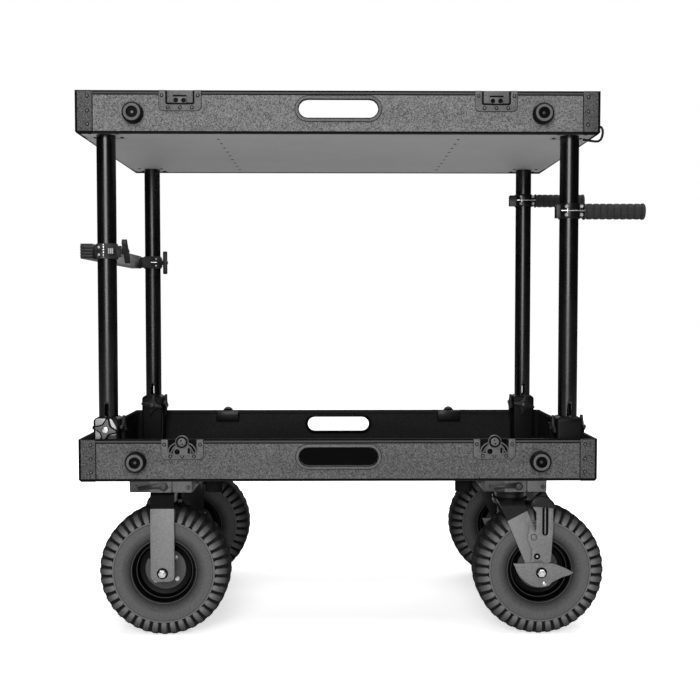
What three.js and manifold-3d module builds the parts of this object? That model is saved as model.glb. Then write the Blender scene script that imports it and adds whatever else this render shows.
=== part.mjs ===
// Camera cart: two rimmed decks on four posts, two fixed casters on the left, two braked swivel
// casters on the right, push handles and a cross bar.
// Millimetres, +Z up, X along the decks, Y away from the front. Everything is laid out from the
// middle of the decks, and the finished group is moved so that its box stands on the origin.
import * as THREE from "three";
import { mergeVertices } from "three/addons/utils/BufferGeometryUtils.js";
import Module from "manifold-3d";

const wasm = await Module();
wasm.setup();

// Fits
const seam = 0.3; // gap between pieces that lie on each other
const clearance = 0.3; // running gap round what turns or slides
const bite = 1; // how far joined shapes reach into each other
const overrun = 5; // how far a cut runs past its faces
const roundSides = 16; // flat sides of round bars

// Decks
const deckLength = 1034;
const deckWidth = 590;
const deckHeight = 85;
const deckWall = 4;
const deckFloor = 4;
const floorRise = 2;
const cornerStep = 1.3; // the floors are thinner at the posts
const deckGap = 688; // from one deck's foot to the other's
const cornerWidth = 33;
const cornerProud = 1;
const rimWidth = 6;
const rimHeight = 8;
const rimGroove = 1.5;
const edgeChamfer = 3;

// Finger slots and their trim rings
const slotLength = 157;
const slotHeight = 36;
const slotRise = 49.5;
const trimBorder = 6.5;
const trimProud = 2;

// Round bumpers on the long walls
const bumperInset = 114; // from the deck's end
const bumperRise = 40;
const bumperRadius = 20.5;
const bumperReach = 18;
const bumperRecessRadius = 10;
const bumperRecessDepth = 6;
const domeShare = 1 / 3; // of the bumper's reach

// Latch plates, keepers and twist latches
const frontLatchInset = 206; // from the deck's end
const backLatchInset = 234;
const plateWidth = 83;
const plateDrop = 40;
const plateThickness = 2;
const recessWidth = 57;
const recessDrop = 28;
const plateCorner = 9;
const keeperWidth = 24;
const keeperHeight = 10;
const keeperReach = 5;
const latchRise = 80;
const latchHubRadius = 10;
const latchThickness = 3;
const latchHubReach = 6;
const latchFanWidth = 40;
const latchFanDrop = 28;
const latchWingReach = 30;
const latchWingRise = 14;
const latchWire = 4;
const fanShare = { flare: 1 / 3, foot: 0.7 }; // of the fan's drop

// Feet under the lower deck
const footInset = 263; // from the deck's end
const footDepthInset = 40;
const footRadius = 17;
const footHeight = 26;

// Posts and sockets
const postEndInset = 51.75;
const postInset = 40;
const postRadius = 19.05;
const postWall = 2.4;
const postSlotWidth = 8;
const postSlotHeight = 25;
const socketWidth = 52;
const socketHeight = 128; // above the deck's foot
const socketCorner = 12;
const socketFlange = 66;
const socketFlangeHeight = 6;

// Star knobs on the sockets
const starDrop = 25; // below the socket's top
const starRadius = 26.5;
const starStandoff = 1;
const starWaist = 13.5;
const starTipWidth = 7;
const starThickness = 6;
const starHubRadius = 7;
const starLean = 11; // degrees

// Caster rails and their release levers
const casterInset = 162; // from the deck's end
const casterDepthInset = 70;
const railLength = 125;
const railWidth = 130;
const railDrop = 22.8;
const railChamfer = 4;
const plungerRadius = 5;
const plungerReach = 7;
const leverHubRadius = 8;
const leverThickness = 5;
const leverLength = 50;
const leverWidth = 8;
const leverPlace = 6;
const leverDrop = 10.5;
const leverBendShare = 0.6; // of its length

// Wheels
const tyreRadius = 133;
const tyreWidth = 85;
const beadRadius = 62;
const ridgeRadius = 104;
const grooveDepth = 9;
const lugCount = 36;
const rimLipRadius = 66;
const rimLipThickness = 3;
const rimDiscRadius = 44;
const rimDiscHalf = 9;
const wheelHubRadius = 16;
const wheelHubHalf = 44;
const axleRadius = 6;
const nutRadius = 9.5;
const nutReach = 7;

// Caster forks
const crownGap = 12; // between tyre and crown
const crownThickness = 10;
const legWidth = 45;
const legThickness = 5;
const legGap = 5.5; // between tyre and leg
const trail = 55;
const crownShiftShare = -0.1; // of the trail
const headRadius = 27;
const headHeight = 20.7;
const kingpinRadius = 10;
const kingpinLength = 15;

// Brakes on the swivel casters
const wingThickness = 3;
const wingLeft = 58;
const wingLeftRise = 15;
const wingRight = 63;
const wingRightDrop = 3;
const wingBelly = 32;
const wingBellyShift = 16;
const wingShare = { leftOut: 0.8, leftLow: 0.6, leftIn: 0.6, leftUp: 0.2, right: 0.4, rightLow: 0.8 };
const pedalThickness = 4;
const pedalLeft = 18;
const pedalRight = 21;
const pedalLow = 21;
const pedalDrop = 8; // below the crown's top
const pedalPivotShift = 10;
const pedalPivotRise = 34;
const pedalPinRadius = 4;
const pedalSlotWidth = 5;
const pedalSlotHeight = 24;
const pedalFootShare = 0.4; // of its width
const pedalSlotShares = [0.3, 0.7]; // of its width
const pedalSlotDropShare = 0.4; // of the slot's height
const padHeight = 16;
const padReach = 14;
const padOverhang = 6;

// Push handles
const frontHandleDrop = 147.5; // below the upper deck
const backHandleDrop = 73;
const clampHeight = 30;
const clampRadius = 22;
const clampGroove = 2;
const frontClampEar = 27;
const backClampEar = 35;
const clampEarWidth = 20;
const clampBossLength = 27.5;
const clampBossWidth = 26;
const gripOverhang = 100; // past the deck's end
const gripRadius = 16;
const gripRibDepth = 1.6;
const gripRibs = 8;
const gripCoreRadius = 8;
const gripCoreLength = 24;
const gripCrestShare = 0.2; // of the ribs' pitch, to each side

// Cross bar between the left posts
const barShare = 0.66788; // of the way up between the decks
const barHeight = 30;
const barGap = 25.75; // from a post's middle to the bar
const barThickness = 24;
const barFrontReach = 15;
const barBackShort = 15;
const barArmWidth = 24;
const barLugFront = 30;
const barLugBack = 23;
const barLugWidth = 16;
const barLugHeight = 22;
const knobLength = 57;
const knobWidth = 14;
const knobThickness = 9;
const knobHubRadius = 6;
const knobHubLength = 3;
const frontKnobLean = 40; // degrees

// Tie loop at the upper deck's right end
const loopWire = 5;
const loopRise = 24;
const loopReach = 15;
const loopReturn = 25;
const loopShare = { top: 0.8, under: 0.6 }; // of its reach

// Sizes that follow from those above
const halfLength = deckLength / 2;
const halfWidth = deckWidth / 2;
const longWallFace = halfWidth - cornerProud;
const wallInside = halfWidth - deckWall;
const floorTop = floorRise + deckFloor;
const postPlace = halfLength - postEndInset;
const postDepthPlace = halfWidth - postInset;
const bumperPlace = halfLength - bumperInset;
const frontLatchPlace = halfLength - frontLatchInset;
const backLatchPlace = halfLength - backLatchInset;
const footPlace = halfLength - footInset;
const footDepthPlace = halfWidth - footDepthInset;
const casterPlace = halfLength - casterInset;
const casterDepthPlace = halfWidth - casterDepthInset;
const crownTop = 2 * tyreRadius + crownGap;
const lowerDeckBase = crownTop + headHeight + railDrop;
const upperDeckBase = lowerDeckBase + deckGap;
const stepTop = floorTop - cornerStep;
const postBottom = lowerDeckBase + stepTop + seam;
const postTop = upperDeckBase + floorRise + cornerStep - seam;
const socketTop = lowerDeckBase + socketHeight;
const postSlotLow = socketTop + clearance;
const postSlotHigh = postSlotLow + postSlotHeight;
const starRise = socketTop - starDrop;
const barRise = lowerDeckBase + barShare * deckGap;
const barInner = postPlace + barGap;
const barOuter = barInner + barThickness;
const barFront = -postDepthPlace - barFrontReach;
const barBack = postDepthPlace - barBackShort;
const frontHandleRise = upperDeckBase - frontHandleDrop;
const backHandleRise = upperDeckBase - backHandleDrop;
const gripEnd = halfLength + gripOverhang;
const wheelRise = tyreRadius * Math.cos(Math.PI / lugCount);
const pedalHigh = crownTop - wheelRise - pedalDrop;
const railBottom = lowerDeckBase - railDrop;
const legInside = tyreWidth / 2 + legGap;
const legOutside = legInside + legThickness;
const wingOutside = legOutside + wingThickness;
const turningBore = (postRadius + clearance) / Math.cos(Math.PI / roundSides);
const boxMiddle = (gripEnd - halfLength) / 2;

// Finishes
const finish = {
  texturedGrey: { color: 0x6f7072, roughness: 0.75, metalness: 0.2 },
  smoothGrey: { color: 0x85878a, roughness: 0.5, metalness: 0.3 },
  glossBlack: { color: 0x0c0c0d, roughness: 0.25, metalness: 0.4 },
  satinBlack: { color: 0x1b1b1c, roughness: 0.5, metalness: 0.2 },
  castGrey: { color: 0x8a8c8f, roughness: 0.45, metalness: 0.6 },
  rubber: { color: 0x2e2e2f, roughness: 0.9, metalness: 0 },
  gripRubber: { color: 0x262626, roughness: 0.85, metalness: 0 },
};
const materials = Object.fromEntries(
  Object.entries(finish).map(([name, look]) => [name, new THREE.MeshStandardMaterial(look)]),
);

const X = new THREE.Vector3(1, 0, 0);
const Y = new THREE.Vector3(0, 1, 0);
const Z = new THREE.Vector3(0, 0, 1);
const degrees = (angle) => THREE.MathUtils.degToRad(angle);

// Solids. A profile may run either way round, so one that comes out inside out is turned.
function solid(geometry) {
  if (geometry instanceof wasm.Manifold) return geometry;
  const bare = new THREE.BufferGeometry();
  bare.setAttribute("position", geometry.getAttribute("position").clone());
  if (geometry.index) bare.setIndex(geometry.index);
  const merged = mergeVertices(bare);
  const vertProperties = merged.attributes.position.array;
  const triVerts = Uint32Array.from(merged.index.array);
  const made = new wasm.Manifold(new wasm.Mesh({ numProp: 3, vertProperties, triVerts }));
  if (made.volume() > 0) return made;
  return new wasm.Manifold(
    new wasm.Mesh({ numProp: 3, vertProperties, triVerts: triVerts.reverse() }),
  );
}

function join(...parts) {
  return parts.map(solid).reduce((whole, part) => whole.add(part));
}

function cut(whole, ...tools) {
  return tools.map(solid).reduce((left, tool) => left.subtract(tool), solid(whole));
}

function geometryOf(shape) {
  const mesh = solid(shape).getMesh();
  const geometry = new THREE.BufferGeometry();
  geometry.setAttribute("position", new THREE.BufferAttribute(mesh.vertProperties, mesh.numProp));
  geometry.setIndex(new THREE.BufferAttribute(mesh.triVerts, 1));
  return geometry;
}

function piece(parent, name, shape, material, place = [0, 0, 0]) {
  const mesh = new THREE.Mesh(geometryOf(shape), materials[material]);
  mesh.name = name;
  mesh.geometry.computeVertexNormals();
  mesh.position.set(...place);
  parent.add(mesh);
  return mesh;
}

function groupAt(parent, x, y, z, turn = 0) {
  const group = new THREE.Group();
  group.position.set(x, y, z);
  group.rotation.z = turn;
  parent.add(group);
  return group;
}

// A block between two corners
function block(x0, x1, y0, y1, z0, z1) {
  const box = new THREE.BoxGeometry(x1 - x0, y1 - y0, z1 - z0);
  return box.translate((x0 + x1) / 2, (y0 + y1) / 2, (z0 + z1) / 2);
}

function turnedTo(geometry, axis) {
  const turn = new THREE.Quaternion().setFromUnitVectors(Y, axis);
  return geometry.applyQuaternion(turn);
}

// A round bar along an axis, from one place on it to another
function rod(radius, axis, from, to, sides = roundSides) {
  const bar = new THREE.CylinderGeometry(radius, radius, to - from, sides);
  return turnedTo(bar.translate(0, (from + to) / 2, 0), axis);
}

// A turned body: pairs of radius and place along the axis, closed on itself or on the axis
function turned(profile, axis, sides = 24) {
  const points = profile.map(([radius, along]) => new THREE.Vector2(radius, along));
  return turnedTo(new THREE.LatheGeometry(points, sides), axis);
}

function extruded(shape, depth, curveSegments) {
  return new THREE.ExtrudeGeometry(shape, { depth, bevelEnabled: false, curveSegments });
}

// An outline in Y and Z, run along X
function alongX(shape, x0, x1, curveSegments = 6) {
  const basis = new THREE.Matrix4().makeBasis(Y, Z, X);
  return extruded(shape, x1 - x0, curveSegments).applyMatrix4(basis).translate(x0, 0, 0);
}

// An outline in X and Z, run along Y
function alongY(shape, y0, y1, curveSegments = 6) {
  const basis = new THREE.Matrix4().makeBasis(X, Z, Y.clone().negate());
  return extruded(shape, y1 - y0, curveSegments).applyMatrix4(basis).translate(0, y1, 0);
}

// An outline in X and Y, run along Z
function alongZ(shape, z0, z1, curveSegments = 6) {
  return extruded(shape, z1 - z0, curveSegments).translate(0, 0, z0);
}

function outline(points) {
  return new THREE.Shape(points.map(([u, v]) => new THREE.Vector2(u, v)));
}

// A slot outline with round ends, lying along the first direction
function stadium(length, height, middle = 0) {
  const radius = height / 2;
  const reach = length / 2 - radius;
  const shape = new THREE.Shape();
  shape.absarc(reach, middle, radius, -Math.PI / 2, Math.PI / 2);
  shape.absarc(-reach, middle, radius, Math.PI / 2, (3 * Math.PI) / 2);
  return shape;
}

function roundedRectangle(width, height, radius) {
  const x = width / 2 - radius;
  const y = height / 2 - radius;
  const shape = new THREE.Shape();
  shape.absarc(x, y, radius, 0, Math.PI / 2);
  shape.absarc(-x, y, radius, Math.PI / 2, Math.PI);
  shape.absarc(-x, -y, radius, Math.PI, (3 * Math.PI) / 2);
  shape.absarc(x, -y, radius, (3 * Math.PI) / 2, 2 * Math.PI);
  return shape;
}

// A deck's long wall, seen as the front one: its section run between the corner plates
function wallSection() {
  const face = -longWallFace;
  const rimLow = deckHeight - rimHeight;
  return outline([
    [face + edgeChamfer, 0],
    [-wallInside, 0],
    [-wallInside, rimLow - rimGroove],
    [-halfWidth + rimWidth, rimLow],
    [-halfWidth + rimWidth, deckHeight],
    [face, deckHeight],
    [face, rimLow + rimGroove],
    [face + rimGroove, rimLow + rimGroove],
    [face + rimGroove, rimLow],
    [face, rimLow],
    [face, edgeChamfer],
  ]);
}

function bumper() {
  const reach = bumperReach + cornerProud;
  const dome = bumperReach * domeShare;
  return turned(
    [
      [0, -bite],
      [bumperRadius, -bite],
      [bumperRadius, reach - dome],
      [bumperRadius - dome, reach],
      [bumperRecessRadius, reach],
      [bumperRecessRadius, reach - bumperRecessDepth],
      [0, reach - bumperRecessDepth],
    ],
    Y.clone().negate(),
    12,
  );
}

// The latch plate hangs from the rim and has a recess that is open at the top
function latchPlate(withKeeper) {
  const half = plateWidth / 2;
  const low = deckHeight - plateDrop;
  const shape = new THREE.Shape();
  shape.moveTo(half, deckHeight);
  shape.lineTo(recessWidth / 2, deckHeight);
  shape.lineTo(recessWidth / 2, deckHeight - recessDrop);
  shape.lineTo(-recessWidth / 2, deckHeight - recessDrop);
  shape.lineTo(-recessWidth / 2, deckHeight);
  shape.lineTo(-half, deckHeight);
  shape.absarc(-half + plateCorner, low + plateCorner, plateCorner, Math.PI, (3 * Math.PI) / 2);
  shape.absarc(half - plateCorner, low + plateCorner, plateCorner, -Math.PI / 2, 0);
  const plate = alongY(shape, -longWallFace - plateThickness, -longWallFace + bite, 2);
  if (!withKeeper) return solid(plate);
  const keeperLow = deckHeight - recessDrop + keeperHeight / 2;
  const keeper = block(
    -keeperWidth / 2,
    keeperWidth / 2,
    -longWallFace - keeperReach,
    -longWallFace + bite,
    keeperLow,
    keeperLow + keeperHeight,
  );
  return join(plate, keeper);
}

function longWall(latchPlace, withKeeper) {
  const reach = halfLength - cornerWidth - seam;
  const trim = stadium(slotLength + 2 * trimBorder, slotHeight + 2 * trimBorder, slotRise);
  const slot = stadium(slotLength, slotHeight, slotRise);
  const fittings = [-1, 1].flatMap((side) => [
    bumper().translate(side * bumperPlace, -longWallFace, bumperRise),
    latchPlate(withKeeper).translate([side * latchPlace, 0, 0]),
  ]);
  const wall = join(
    alongX(wallSection(), -reach, reach),
    alongY(trim, -longWallFace - trimProud, -wallInside + trimProud, 3),
    ...fittings,
  );
  return cut(wall, alongY(slot, -longWallFace - overrun, -wallInside + overrun, 3));
}

// A deck's end wall, seen as the left one: it wraps round both corners
function endWallPlan(thickness) {
  const inner = -halfLength + thickness;
  const end = -halfLength + cornerWidth;
  return outline([
    [-halfLength, -halfWidth],
    [end, -halfWidth],
    [end, -halfWidth + thickness],
    [inner, -halfWidth + thickness],
    [inner, halfWidth - thickness],
    [end, halfWidth - thickness],
    [end, halfWidth],
    [-halfLength, halfWidth],
  ]);
}

function endWall() {
  const wall = join(
    alongZ(endWallPlan(deckWall), 0, deckHeight),
    alongZ(endWallPlan(rimWidth), deckHeight - rimHeight, deckHeight),
  );
  const size = edgeChamfer;
  const y = halfWidth + overrun;
  const chamfer = block(-size, size, -y, y, -size, size).rotateY(Math.PI / 4);
  chamfer.translate(-halfLength, 0, 0);
  return cut(wall, chamfer);
}

// The floor is thinner at its corners, above or below, where the posts meet it
function floorPanel(isLower) {
  const x = halfLength - deckWall - seam;
  const y = wallInside - seam;
  const stepX = postPlace - socketFlange / 2 - bite;
  const stepY = postDepthPlace - socketFlange / 2 - bite;
  const [low, high] = isLower
    ? [stepTop, floorTop + overrun]
    : [floorRise - overrun, floorRise + cornerStep];
  const steps = [-1, 1].flatMap((side) =>
    [-1, 1].map((end) =>
      block(
        Math.min(side * stepX, side * halfLength),
        Math.max(side * stepX, side * halfLength),
        Math.min(end * stepY, end * halfWidth),
        Math.max(end * stepY, end * halfWidth),
        low,
        high,
      ),
    ),
  );
  return cut(block(-x, x, -y, y, floorRise, floorTop), ...steps);
}

function lowerFloor() {
  const feet = [-1, 1].flatMap((side) =>
    [-1, 1].map((end) =>
      rod(footRadius, Z, -footHeight, floorRise + bite, 14).translate(
        side * footPlace,
        end * footDepthPlace,
        0,
      ),
    ),
  );
  return join(floorPanel(true), ...feet);
}

// The twist latch turns on its hub: a fan plate below it and two wire wings beside it
function twistLatch() {
  const half = latchFanWidth / 2;
  const fan = new THREE.Shape();
  fan.moveTo(-latchHubRadius, 0);
  fan.quadraticCurveTo(-half, -latchFanDrop * fanShare.flare, -half, -latchFanDrop);
  fan.quadraticCurveTo(0, -latchFanDrop * fanShare.foot, half, -latchFanDrop);
  fan.quadraticCurveTo(half, -latchFanDrop * fanShare.flare, latchHubRadius, 0);
  const wing = new THREE.Shape();
  wing.moveTo(-latchWingReach, -latchWingRise / 2);
  wing.lineTo(-latchWingReach + latchWire, -latchWingRise / 2);
  wing.quadraticCurveTo(-latchHubRadius, latchWingRise - latchWire, 0, latchWingRise - 2 * latchWire);
  wing.quadraticCurveTo(
    latchHubRadius,
    latchWingRise - latchWire,
    latchWingReach - latchWire,
    -latchWingRise / 2,
  );
  wing.lineTo(latchWingReach, -latchWingRise / 2);
  wing.quadraticCurveTo(latchWingReach, latchWingRise, 0, latchWingRise - latchWire / 2);
  wing.quadraticCurveTo(-latchWingReach, latchWingRise, -latchWingReach, -latchWingRise / 2);
  return join(
    rod(latchHubRadius, Y, -latchHubReach, 0, 12),
    alongY(fan, -latchThickness, 0, 3),
    alongY(wing, -latchThickness, 0, 4),
  );
}

function deck(parent, level, base, isLower) {
  const group = groupAt(parent, 0, 0, base);
  piece(group, `${level}_floor`, isLower ? lowerFloor() : floorPanel(false), "smoothGrey");
  piece(group, `${level}_wall_front`, longWall(frontLatchPlace, !isLower), "texturedGrey");
  const back = groupAt(group, 0, 0, 0, Math.PI);
  piece(back, `${level}_wall_back`, longWall(backLatchPlace, !isLower), "texturedGrey");
  piece(group, `${level}_wall_left`, endWall(), "texturedGrey");
  piece(back, `${level}_wall_right`, endWall(), "texturedGrey");
  if (!isLower) return group;
  const latchFace = -longWallFace - plateThickness - clearance;
  for (const [holder, row, place, ends] of [
    [group, "front", frontLatchPlace, ["left", "right"]],
    [back, "back", backLatchPlace, ["right", "left"]],
  ]) {
    ends.forEach((end, index) => {
      const x = (2 * index - 1) * place;
      piece(holder, `twist_latch_${row}_${end}`, twistLatch(), "satinBlack", [
        x,
        latchFace,
        latchRise,
      ]);
    });
  }
  return group;
}

function post() {
  const inner = postRadius - postWall;
  const tube = turned(
    [
      [inner, postBottom],
      [postRadius, postBottom],
      [postRadius, postTop],
      [inner, postTop],
      [inner, postBottom],
    ],
    Z,
    roundSides,
  );
  const middle = (postSlotLow + postSlotHigh) / 2;
  const slot = stadium(postSlotHigh - postSlotLow, postSlotWidth);
  const tool = alongY(slot, -postRadius - overrun, postRadius + overrun, 2);
  return cut(tube, tool.rotateY(Math.PI / 2).translate(0, 0, middle));
}

// The socket is a casting: a square block with rounded edges and shoulders on a flange
function socket() {
  const low = postBottom;
  const half = socketWidth / 2;
  const shoulder = new THREE.Shape();
  shoulder.moveTo(-half, low);
  shoulder.lineTo(half, low);
  shoulder.absarc(half - socketCorner, socketTop - socketCorner, socketCorner, 0, Math.PI / 2);
  shoulder.absarc(-half + socketCorner, socketTop - socketCorner, socketCorner, Math.PI / 2, Math.PI);
  const column = alongZ(roundedRectangle(socketWidth, socketWidth, socketCorner / 2), low, socketTop, 2);
  const body = solid(column)
    .intersect(solid(alongY(shoulder, -half - overrun, half + overrun, 2)))
    .intersect(solid(alongY(shoulder, -half - overrun, half + overrun, 2).rotateZ(Math.PI / 2)));
  const flange = alongZ(
    roundedRectangle(socketFlange, socketFlange, socketCorner),
    low,
    low + socketFlangeHeight,
    2,
  );
  const bore = rod(postRadius + clearance, Z, low - overrun, socketTop + overrun);
  return cut(join(body, flange), bore);
}

// The star knob, its screw's axis along Y and its face towards -Y
function starKnob() {
  const arms = 4;
  const tip = starTipWidth / 2 / starRadius;
  const shape = new THREE.Shape();
  for (let arm = 0; arm < arms; arm++) {
    const angle = degrees(90 - starLean) + (arm * 2 * Math.PI) / arms;
    const next = angle + (2 * Math.PI) / arms - tip;
    const waist = angle + Math.PI / arms;
    const start = [starRadius * Math.cos(angle - tip), starRadius * Math.sin(angle - tip)];
    if (arm === 0) shape.moveTo(...start);
    shape.lineTo(starRadius * Math.cos(angle + tip), starRadius * Math.sin(angle + tip));
    shape.quadraticCurveTo(
      (starWaist / 2) * Math.cos(waist),
      (starWaist / 2) * Math.sin(waist),
      starRadius * Math.cos(next),
      starRadius * Math.sin(next),
    );
  }
  const face = -starThickness;
  const hub = rod(starHubRadius, Y, face, starStandoff - clearance, 12);
  return join(alongY(shape, face, 0, 4), hub);
}

// Each corner names the two faces of its socket that carry a knob, as turns about Z
const corners = [
  { row: "front", end: "left", x: -postPlace, y: -postDepthPlace, faces: [0, 90] },
  { row: "front", end: "right", x: postPlace, y: -postDepthPlace, faces: [90, -90] },
  { row: "back", end: "left", x: -postPlace, y: postDepthPlace, faces: [0, 90] },
  { row: "back", end: "right", x: postPlace, y: postDepthPlace, faces: [0, -90] },
];

function postAndSocket(parent, { row, end, x, y, faces }) {
  const group = groupAt(parent, x, y, 0);
  piece(group, `post_${row}_${end}`, post(), "glossBlack");
  piece(group, `socket_${row}_${end}`, socket(), "castGrey");
  faces.forEach((face, index) => {
    const holder = groupAt(group, 0, 0, 0, degrees(face));
    const name = `star_knob_${row}_${end}_${index ? "side" : "main"}`;
    const place = [0, -socketWidth / 2 - starStandoff, starRise];
    piece(holder, name, starKnob(), "satinBlack", place);
  });
}

// The rail that a caster slides into, with its plunger at the inner end
function casterRail(isSwivel, innerSide) {
  const x = railLength / 2;
  const y = railWidth / 2;
  const top = lowerDeckBase + floorRise - seam;
  const section = outline([
    [-y, top],
    [-y, railBottom + railChamfer],
    [-y + railChamfer, railBottom],
    [y - railChamfer, railBottom],
    [y, railBottom + railChamfer],
    [y, top],
  ]);
  const plungerRise = (railBottom + lowerDeckBase) / 2;
  const plunger = rod(plungerRadius, X, x - bite, x + plungerReach, 10);
  const turnedPlunger = innerSide < 0 ? plunger.rotateZ(Math.PI) : plunger;
  const rail = join(alongX(section, -x, x), turnedPlunger.translate(0, 0, plungerRise));
  if (!isSwivel) return rail;
  const socketRoof = railBottom + kingpinLength;
  return cut(rail, rod(kingpinRadius + clearance, Z, railBottom - overrun, socketRoof, 12));
}

// The release lever turns on a hub at the rail's outer face and points towards -X
function releaseLever() {
  const half = leverWidth / 2;
  const arm = outline([
    [0, leverHubRadius],
    [-leverLength * leverBendShare, half],
    [-leverLength, 0],
    [-leverLength, -leverWidth],
    [-leverLength * leverBendShare, -half],
    [0, -half],
  ]);
  return join(rod(leverHubRadius, Y, -leverThickness, 0, 14), alongY(arm, -leverThickness, -bite));
}

// The tyre's rings run from bead to bead. Shares are of the section's height and half width.
const sidewallShare = [
  { up: 0, out: 0.72 },
  { up: 0.32, out: 0.98 },
];
const shoulderShare = { up: 0.9, out: 0.84 };
// Round one lug's pitch, from the lug's middle: its top, a flank, the groove and a flank
const pitchShare = [-0.2, 0.2, 0.32, 0.68];
const crownTurnShare = 0.5; // of a pitch, so that a flat of the crown stands on the ground

function tyre() {
  const positions = [];
  const faces = [];
  const half = tyreWidth / 2;
  const section = tyreRadius - beadRadius;
  const pitch = (2 * Math.PI) / lugCount;
  const steps = pitchShare.length;
  const ring = (angles, radiusAt, along) => {
    const first = positions.length / 3;
    angles.forEach((angle, index) => {
      const radius = radiusAt(index);
      positions.push(radius * Math.sin(angle), along, -radius * Math.cos(angle));
    });
    return { first, count: angles.length };
  };
  const lugs = Array.from({ length: lugCount }, (_, index) => index);
  const plainAngles = lugs.map((lug) => (lug + crownTurnShare) * pitch);
  const treadAngles = lugs.flatMap((lug) => pitchShare.map((share) => (lug + share) * pitch));
  const plain = (radius, along) => ring(plainAngles, () => radius, along);
  const tread = ({ up, out }, side) => {
    const top = beadRadius + up * section;
    const depthAt = (index) => (index % steps < steps / 2 ? 0 : grooveDepth);
    return ring(treadAngles, (index) => top - depthAt(index), side * out * half);
  };
  const at = ({ first, count }, index) => first + (index % count);
  const quads = (a, b) => {
    for (let i = 0; i < a.count; i++) {
      faces.push(at(a, i), at(a, i + 1), at(b, i + 1), at(a, i), at(b, i + 1), at(b, i));
    }
  };
  // One edge of a plain ring meets all of a lug's edges on a tread ring
  const fans = (flat, toothed, isTurned) => {
    const add = (p, q, r) => faces.push(...(isTurned ? [p, r, q] : [p, q, r]));
    for (let i = 0; i < flat.count; i++) {
      for (let step = 0; step < steps; step++) {
        add(at(flat, i), at(toothed, i * steps + step + 1), at(toothed, i * steps + step));
      }
      add(at(flat, i), at(flat, i + 1), at(toothed, (i + 1) * steps));
    }
  };
  const wall = (side) =>
    sidewallShare.map(({ up, out }) => plain(beadRadius + up * section, side * out * half));
  const [beadA, wallA] = wall(-1);
  const ridgeA = plain(ridgeRadius, -half);
  const shoulderA = tread(shoulderShare, -1);
  const crown = plain(tyreRadius, 0);
  const shoulderB = tread(shoulderShare, 1);
  const ridgeB = plain(ridgeRadius, half);
  const [beadB, wallB] = wall(1);
  quads(beadA, wallA);
  quads(wallA, ridgeA);
  fans(ridgeA, shoulderA, false);
  fans(crown, shoulderA, true);
  fans(crown, shoulderB, false);
  fans(ridgeB, shoulderB, true);
  quads(ridgeB, wallB);
  quads(wallB, beadB);
  quads(beadB, beadA);
  const geometry = new THREE.BufferGeometry();
  geometry.setAttribute("position", new THREE.Float32BufferAttribute(positions, 3));
  geometry.setIndex(faces);
  return geometry;
}

// The rim is two pressed dishes back to back on a hub, seen here as one turned section
function wheelRim() {
  const [bead, bulge] = sidewallShare;
  const barrel = beadRadius * Math.cos(Math.PI / lugCount) - seam;
  const barrelHalf = (tyreWidth / 2) * bead.out + 2 * seam;
  const lipShare = (rimLipRadius - beadRadius) / (bulge.up * (tyreRadius - beadRadius));
  const lipHalf = barrelHalf + (tyreWidth / 2) * (bulge.out - bead.out) * lipShare;
  const dishHalf = barrelHalf - rimLipThickness;
  const half = [
    [axleRadius + clearance, wheelHubHalf],
    [wheelHubRadius, wheelHubHalf],
    [wheelHubRadius, rimDiscHalf],
    [rimDiscRadius, rimDiscHalf],
    [barrel - rimLipThickness, dishHalf],
    [rimLipRadius, lipHalf + rimLipThickness],
    [rimLipRadius, lipHalf],
    [barrel, barrelHalf],
  ];
  const other = half.map(([radius, along]) => [radius, -along]).reverse();
  return turned([...half, ...other, half[0]], Y, lugCount / 2);
}

// A fork leg's outline, round the axle at its foot and cut off level at the crown
function legOutline(reach) {
  const half = legWidth / 2;
  const topX = reach * crownShiftShare;
  const rise = crownTop - wheelRise;
  const lean = Math.atan2(reach - topX, rise);
  const shape = new THREE.Shape();
  shape.moveTo(topX - half, crownTop);
  shape.lineTo(topX - half, crownTop - crownThickness);
  shape.absarc(reach, wheelRise, half, Math.PI - lean, 2 * Math.PI - lean);
  shape.lineTo(topX + half, crownTop - crownThickness);
  shape.lineTo(topX + half, crownTop);
  return shape;
}

// The crescent plate under the axle nut, with a wing to each side
function wingOutline(reach) {
  const shape = new THREE.Shape();
  const z = wheelRise;
  shape.moveTo(reach - wingLeft, z + wingLeftRise);
  shape.quadraticCurveTo(
    reach - wingLeft * wingShare.leftOut,
    z - wingBelly * wingShare.leftLow,
    reach - wingBellyShift,
    z - wingBelly,
  );
  const rightIn = reach + wingRight * wingShare.right;
  shape.quadraticCurveTo(
    rightIn,
    z - wingBelly * wingShare.rightLow,
    reach + wingRight,
    z - wingRightDrop,
  );
  shape.quadraticCurveTo(
    rightIn,
    z - wingRightDrop,
    reach + wingBellyShift,
    z + wingLeftRise,
  );
  shape.lineTo(reach - wingBellyShift, z + wingLeftRise);
  shape.quadraticCurveTo(
    reach - wingLeft * wingShare.leftIn,
    z - wingBelly * wingShare.leftUp,
    reach - wingLeft,
    z + wingLeftRise,
  );
  return shape;
}

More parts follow.
